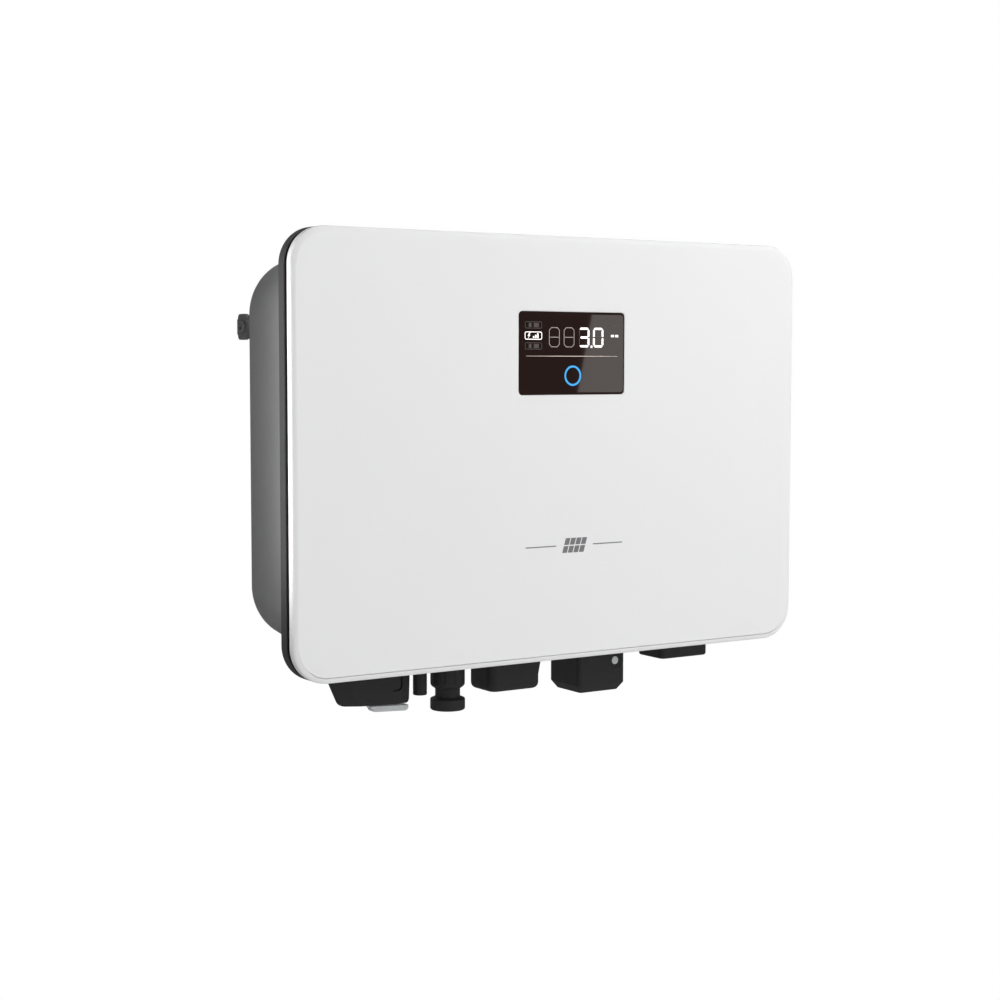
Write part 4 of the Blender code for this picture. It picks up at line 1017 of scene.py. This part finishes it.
FOOT_STATIONS = (  # (left, right, half depth, z)
    (-0.6, 21.9, 3.4, -135.1), (-0.9, 22.2, 3.6, -135.35), (0.4, 22.2, 3.6, -136.7),
    (1.0, 21.6, 3.2, -138.0), (1.8, 20.6, 2.6, -138.4),
)
piece(
    "dc_switch_lock_tab",
    loft([foot(*station) for station in FOOT_STATIONS]),
    joined(soft_block(
        SWITCH_X, SWITCH_X + 20.0, FIT_Y - 1.8, FIT_Y + 1.8, -137.0, -119.8, 0.3)),
)

# ---- PV receptacles: (radius, z) profiles ----------------------------------------------
NEGATIVE_PROFILE = [
    (1.8, -91.0), (5.0, -91.0), (5.0, SEAT_Z), (6.0, SEAT_Z), (6.0, -107.7), (5.7, -108.0),
    (4.6, -108.6), (3.8, -109.4), (3.8, -129.6), (3.68, -129.75), (3.68, -130.1),
    (3.8, -130.25), (3.8, -131.9), (3.65, -132.25), (3.3, -132.4), (2.7, -132.4),
    (2.5, -131.8), (2.5, -112.0), (1.8, -112.0),
]
POSITIVE_PROFILE = [
    (1.8, -91.0), (6.0, -91.0), (6.0, SEAT_Z), (10.2, SEAT_Z), (10.4, -105.5), (10.4, -107.6),
    (10.1, -108.0), (9.5, -108.5), (9.4, -108.9), (9.4, -127.6), (9.25, -128.3), (8.8, -129.0),
    (7.1, -130.2), (6.8, -130.7), (6.8, -134.4), (7.1, -134.9), (9.1, -135.7), (9.42, -136.0),
    (9.5, -136.4), (9.5, -141.0), (9.35, -141.55), (8.95, -141.9), (6.4, -141.9),
    (6.0, -141.3), (6.0, -113.0), (1.8, -113.0),
]
piece("pv_receptacle_negative", turned(NEGATIVE_PROFILE, "Z", fit_at(NEGATIVE_X)))
# finger flutes down the upper barrel
flutes = [
    rod(1.1, -126.6, -110.2, "Z", at, 16) for at in around(10, 10.1, POSITIVE_X, turn=0.2)
]
piece(
    "pv_receptacle_positive",
    turned(POSITIVE_PROFILE, "Z", fit_at(POSITIVE_X)),
    cut(*flutes),
)

# ---- AC plug: (width, depth, corner radius, z) -----------------------------------------
PLUG_COLLAR = (
    (33.8, 24.0, 4.6, -109.2), (34.6, 24.8, 5.0, -109.6), (34.6, 24.8, 5.0, -112.6),
    (34.25, 24.45, 4.85, -112.8), (34.25, 24.45, 4.85, -113.3), (34.6, 24.8, 5.0, -113.5),
    (34.6, 24.8, 5.0, -119.0),
)
PLUG_BODY = (
    (33.1, 24.8, 5.0, -126.0), (33.1, 24.8, 5.0, -130.4), (32.8, 24.5, 4.9, -131.4),
    (32.2, 23.9, 4.7, -132.2), (31.0, 22.7, 4.3, -132.95), (29.6, 21.3, 3.8, -133.4),
    (28.4, 20.1, 3.4, -133.6),
)
piece(
    "ac_plug_shell",
    loft(rings_z(PLUG_COLLAR, AC_X + 0.75) + rings_z(PLUG_BODY, AC_X)),
    cut(slab_z(23.0, 14.6, 4.5, -121.5, -108.0, AC_X)),
    cut(rod(5.2, -135.0, -121.0, "Z", fit_at(AC_X))),
)

# ---- dongle ----------------------------------------------------------------------------
DONGLE_STATIONS = (  # (width, depth, corner radius, z)
    (31.5, 29.1, 2.2, -108.0), (32.1, 29.7, 2.5, -108.3), (32.1, 29.7, 2.5, -135.4),
    (31.95, 29.55, 2.4, -135.75), (31.5, 29.1, 2.3, -136.05), (26.6, 24.2, 1.8, -139.65),
    (26.2, 23.8, 1.6, -139.9), (25.8, 23.4, 1.4, -140.0),
)
DONGLE_FRONT_Y = DONGLE_Y - 29.7 / 2
LENS_AT = (DONGLE_X + 9.4, 0, -122.8)
# shallow dish round the status lens
DISH_PROFILE = [
    (0, DONGLE_FRONT_Y - 1.0), (4.9, DONGLE_FRONT_Y - 1.0), (4.5, DONGLE_FRONT_Y - 0.01),
    (4.1, DONGLE_FRONT_Y + 0.42), (0, DONGLE_FRONT_Y + 0.42),
]
piece(
    "dongle_shell",
    loft(rings_z(DONGLE_STATIONS, DONGLE_X, DONGLE_Y)),
    cut(slab_z(22.0, 14.0, 2.0, -134.0, -107.0, DONGLE_X, DONGLE_Y)),
    cut(turned(DISH_PROFILE, "Y", LENS_AT, 48)),
    cut(rod(2.6, 28.2, 30.8, "Y", LENS_AT)),
)
lens_edge = [(2.0 + 0.3 * s, 29.9 - 0.3 * c) for s, c in quarter(15)]
lens_profile = [(0, 29.6)] + lens_edge + [(2.3, 30.5), (0, 30.5)]
piece("dongle_status_lens", turned(lens_profile, "Y", LENS_AT, 40))

# ---- data port cap, vent ---------------------------------------------------------------
CAP_STATIONS = (  # (width, depth, corner radius, z)
    (33.7, 23.6, 3.2, -108.0), (34.3, 24.2, 3.5, -108.3), (34.3, 24.2, 3.5, -123.9),
    (34.1, 24.0, 3.4, -124.45), (33.5, 23.4, 3.2, -124.85), (32.7, 22.6, 2.8, -125.1),
    (31.9, 21.8, 2.4, -125.2),
)
piece(
    "com_cap",
    loft(rings_z(CAP_STATIONS, COM_X)),
    joined(soft_block(
        COM_X + 16.0, COM_X + 18.2, FIT_Y - 9.0, FIT_Y - 5.0, -122.2, -119.4, 0.6)),
    cut(slab_z(19.4, 14.4, 2.4, -119.0, -107.0, COM_X)),
)
VENT_PROFILE = [
    (0, -98.0), (3.8, -98.0), (3.8, SEAT_Z), (6.4, SEAT_Z), (6.6, -105.5), (6.6, -108.0),
    (6.3, -108.7), (5.6, -109.2), (0, -109.2),
]
piece(
    "vent_plug",
    turned(VENT_PROFILE, "Z", fit_at(VENT_X)),
    cut(*[rod(0.5, -110.0, -108.4, "Z", at, 14) for at in around(6, 3.4, VENT_X)]),
)

# ---- floor (metres from here on) -------------------------------------------------------
scene = bpy.context.scene
scene.view_settings.view_transform = "Standard"
scene.view_settings.look = "None"


def sheet(name, corners, material):
    mesh = bpy.data.meshes.new(name)
    mesh.from_pydata(corners, [], [(0, 1, 2, 3)])
    obj = bpy.data.objects.new(name, mesh)
    scene.collection.objects.link(obj)
    mesh.materials.append(material)
    return obj


# the camera sees the floor as plain white; other rays see its pale surface
pale = procedural(
    "floor_pale", base=(0.93, 0.93, 0.93), rough=0.6,
    grain=90.0, grain_depth=0.00005, mottle=0.01)
tree = pale.node_tree
either = new_node(tree, "MixShader", {
    1: tree.nodes["Principled BSDF"].outputs["BSDF"],
    2: new_node(tree, "Emission", {"Strength": 1.0}).outputs["Emission"],
    "Fac": new_node(tree, "LightPath").outputs["Is Camera Ray"],
})
tree.links.new(either.outputs["Shader"], tree.nodes["Material Output"].inputs["Surface"])
FLOOR_CORNERS = [(-14, -6, -0.62), (14, -6, -0.62), (14, 22, -0.62), (-14, 22, -0.62)]
floor = sheet("studio_floor", FLOOR_CORNERS, pale)
floor.visible_glossy = False

# ---- world: white to the camera, dim in reflections, else brightest to the front right ----
world = bpy.data.worlds.new("studio")
scene.world = world
world.use_nodes = True
tree = world.node_tree
tree.nodes.clear()


def background(strength):
    inputs = {"Color": (1, 1, 1, 1), "Strength": strength}
    return new_node(tree, "Background", inputs).outputs["Background"]


output = new_node(tree, "OutputWorld")
seen = background(1.0)
where = new_node(tree, "TexCoord").outputs["Generated"]
toward = new_node(tree, "VectorMath", {1: (0.6, -0.8, 0.0), 0: where}, operation="DOT_PRODUCT")
lit_by = background(
    remap(tree, toward.outputs["Value"], low=0.0, high=0.86, start=-0.72, stop=1.0))
ray = new_node(tree, "LightPath").outputs
mix = new_node(tree, "MixShader", {"Fac": ray["Is Camera Ray"], 2: seen})
mirror = {"Fac": ray["Is Glossy Ray"], 1: lit_by, 2: background(0.12)}
shiny = new_node(tree, "MixShader", mirror)
tree.links.new(shiny.outputs["Shader"], mix.inputs[1])
tree.links.new(mix.outputs["Shader"], output.inputs["Surface"])


# ---- lights ----------------------------------------------------------------------------
def area(name, place, aim, power, size, glossy=False):
    """A rectangular lamp of (width, height), hidden from the camera."""
    light = bpy.data.lights.new(name, "AREA")
    light.shape, light.energy = "RECTANGLE", power
    light.size, light.size_y = size
    obj = bpy.data.objects.new(name, light)
    obj.location = place
    obj.rotation_euler = (Vector(aim) - Vector(place)).to_track_quat("-Z", "Y").to_euler()
    obj.visible_camera = False
    if not glossy:
        obj.visible_glossy = False
    scene.collection.objects.link(obj)


area("key", place=(0.85, -1.1, 0.75), aim=(0.1, -0.06, -0.02), power=2.0, size=(0.8, 0.8))
area("fill", place=(0.6, -2.4, 0.2), aim=(-0.05, -0.1, -0.03), power=10.0, size=(0.9, 0.9))
area("corner", place=(0.42, -0.55, 0.38), aim=(0.08, -0.12, 0.02), power=1.4, size=(0.3, 0.3))
# the wall side, away from the camera
area("rear", place=(0.35, 1.7, 0.55), aim=(0.0, 0.0, -0.05), power=26.0, size=(1.2, 1.2))
# a strip beside the left flank, level with the rim: brightest at the flange
area(
    "flank", place=(-0.190, -0.108, -0.045), aim=(-0.150, -0.106, -0.045),
    power=0.064, size=(0.012, 0.18))
area("overhead", place=(0.0, 0.2, 2.6), aim=(0, 0.2, -0.6), power=15.0, size=(4.0, 4.0),
     glossy=True)

# ---- card that the window mirrors: its slanted edge gives the lighter corner -------------
CARD_Y = -1700
CAMERA_AT = Vector((-554.19, -804.66 - WALL_Y, 45.38 - BRACKET_Z))  # frame axes, millimetres


def mirrored(across, down):
    """Where the line of sight to a point of the window meets CARD_Y once mirrored by it."""
    x, z = window_point(across, down)
    hit = Vector((x, GLASS_Y, z)) + SHIFT
    sight = hit - CAMERA_AT
    sight.y = -sight.y
    return tuple((hit + sight * ((CARD_Y - hit.y) / sight.y)) * MM)


glow = bpy.data.materials.new("reflected_card")
glow.use_nodes = True
tree = glow.node_tree
tree.nodes.clear()
emission = new_node(tree, "Emission", {"Strength": 2.3, "Color": (1.0, 0.95, 0.92, 1)})
new_node(tree, "OutputMaterial", {"Surface": emission.outputs["Emission"]})
CARD_POINTS = ((0.692, -0.02), (0.546, 1.02), (1.9, 1.6), (1.9, -0.5))
card = sheet("reflected_card", [mirrored(*point) for point in CARD_POINTS], glow)
card.visible_camera = card.visible_diffuse = card.visible_shadow = False

# ---- camera ----------------------------------------------------------------------------
yaw, pitch, roll = math.radians(32.714), math.radians(4.246), math.radians(0.045)
forward = Vector((
    math.sin(yaw) * math.cos(pitch), math.cos(yaw) * math.cos(pitch), -math.sin(pitch)))
right = Vector((math.cos(yaw), -math.sin(yaw), 0.0))
up = right.cross(forward)
rolled_right = math.cos(roll) * right + math.sin(roll) * up
rolled_up = -math.sin(roll) * right + math.cos(roll) * up
turn = Matrix((rolled_right, rolled_up, -forward)).transposed().to_4x4()
lens_data = bpy.data.cameras.new("camera")
lens_data.sensor_width, lens_data.lens = 36.0, 65.964
lens_data.clip_start = 0.05
camera = bpy.data.objects.new("camera", lens_data)
camera.matrix_world = Matrix.Translation(CAMERA_AT * MM) @ turn
scene.collection.objects.link(camera)
scene.camera = camera
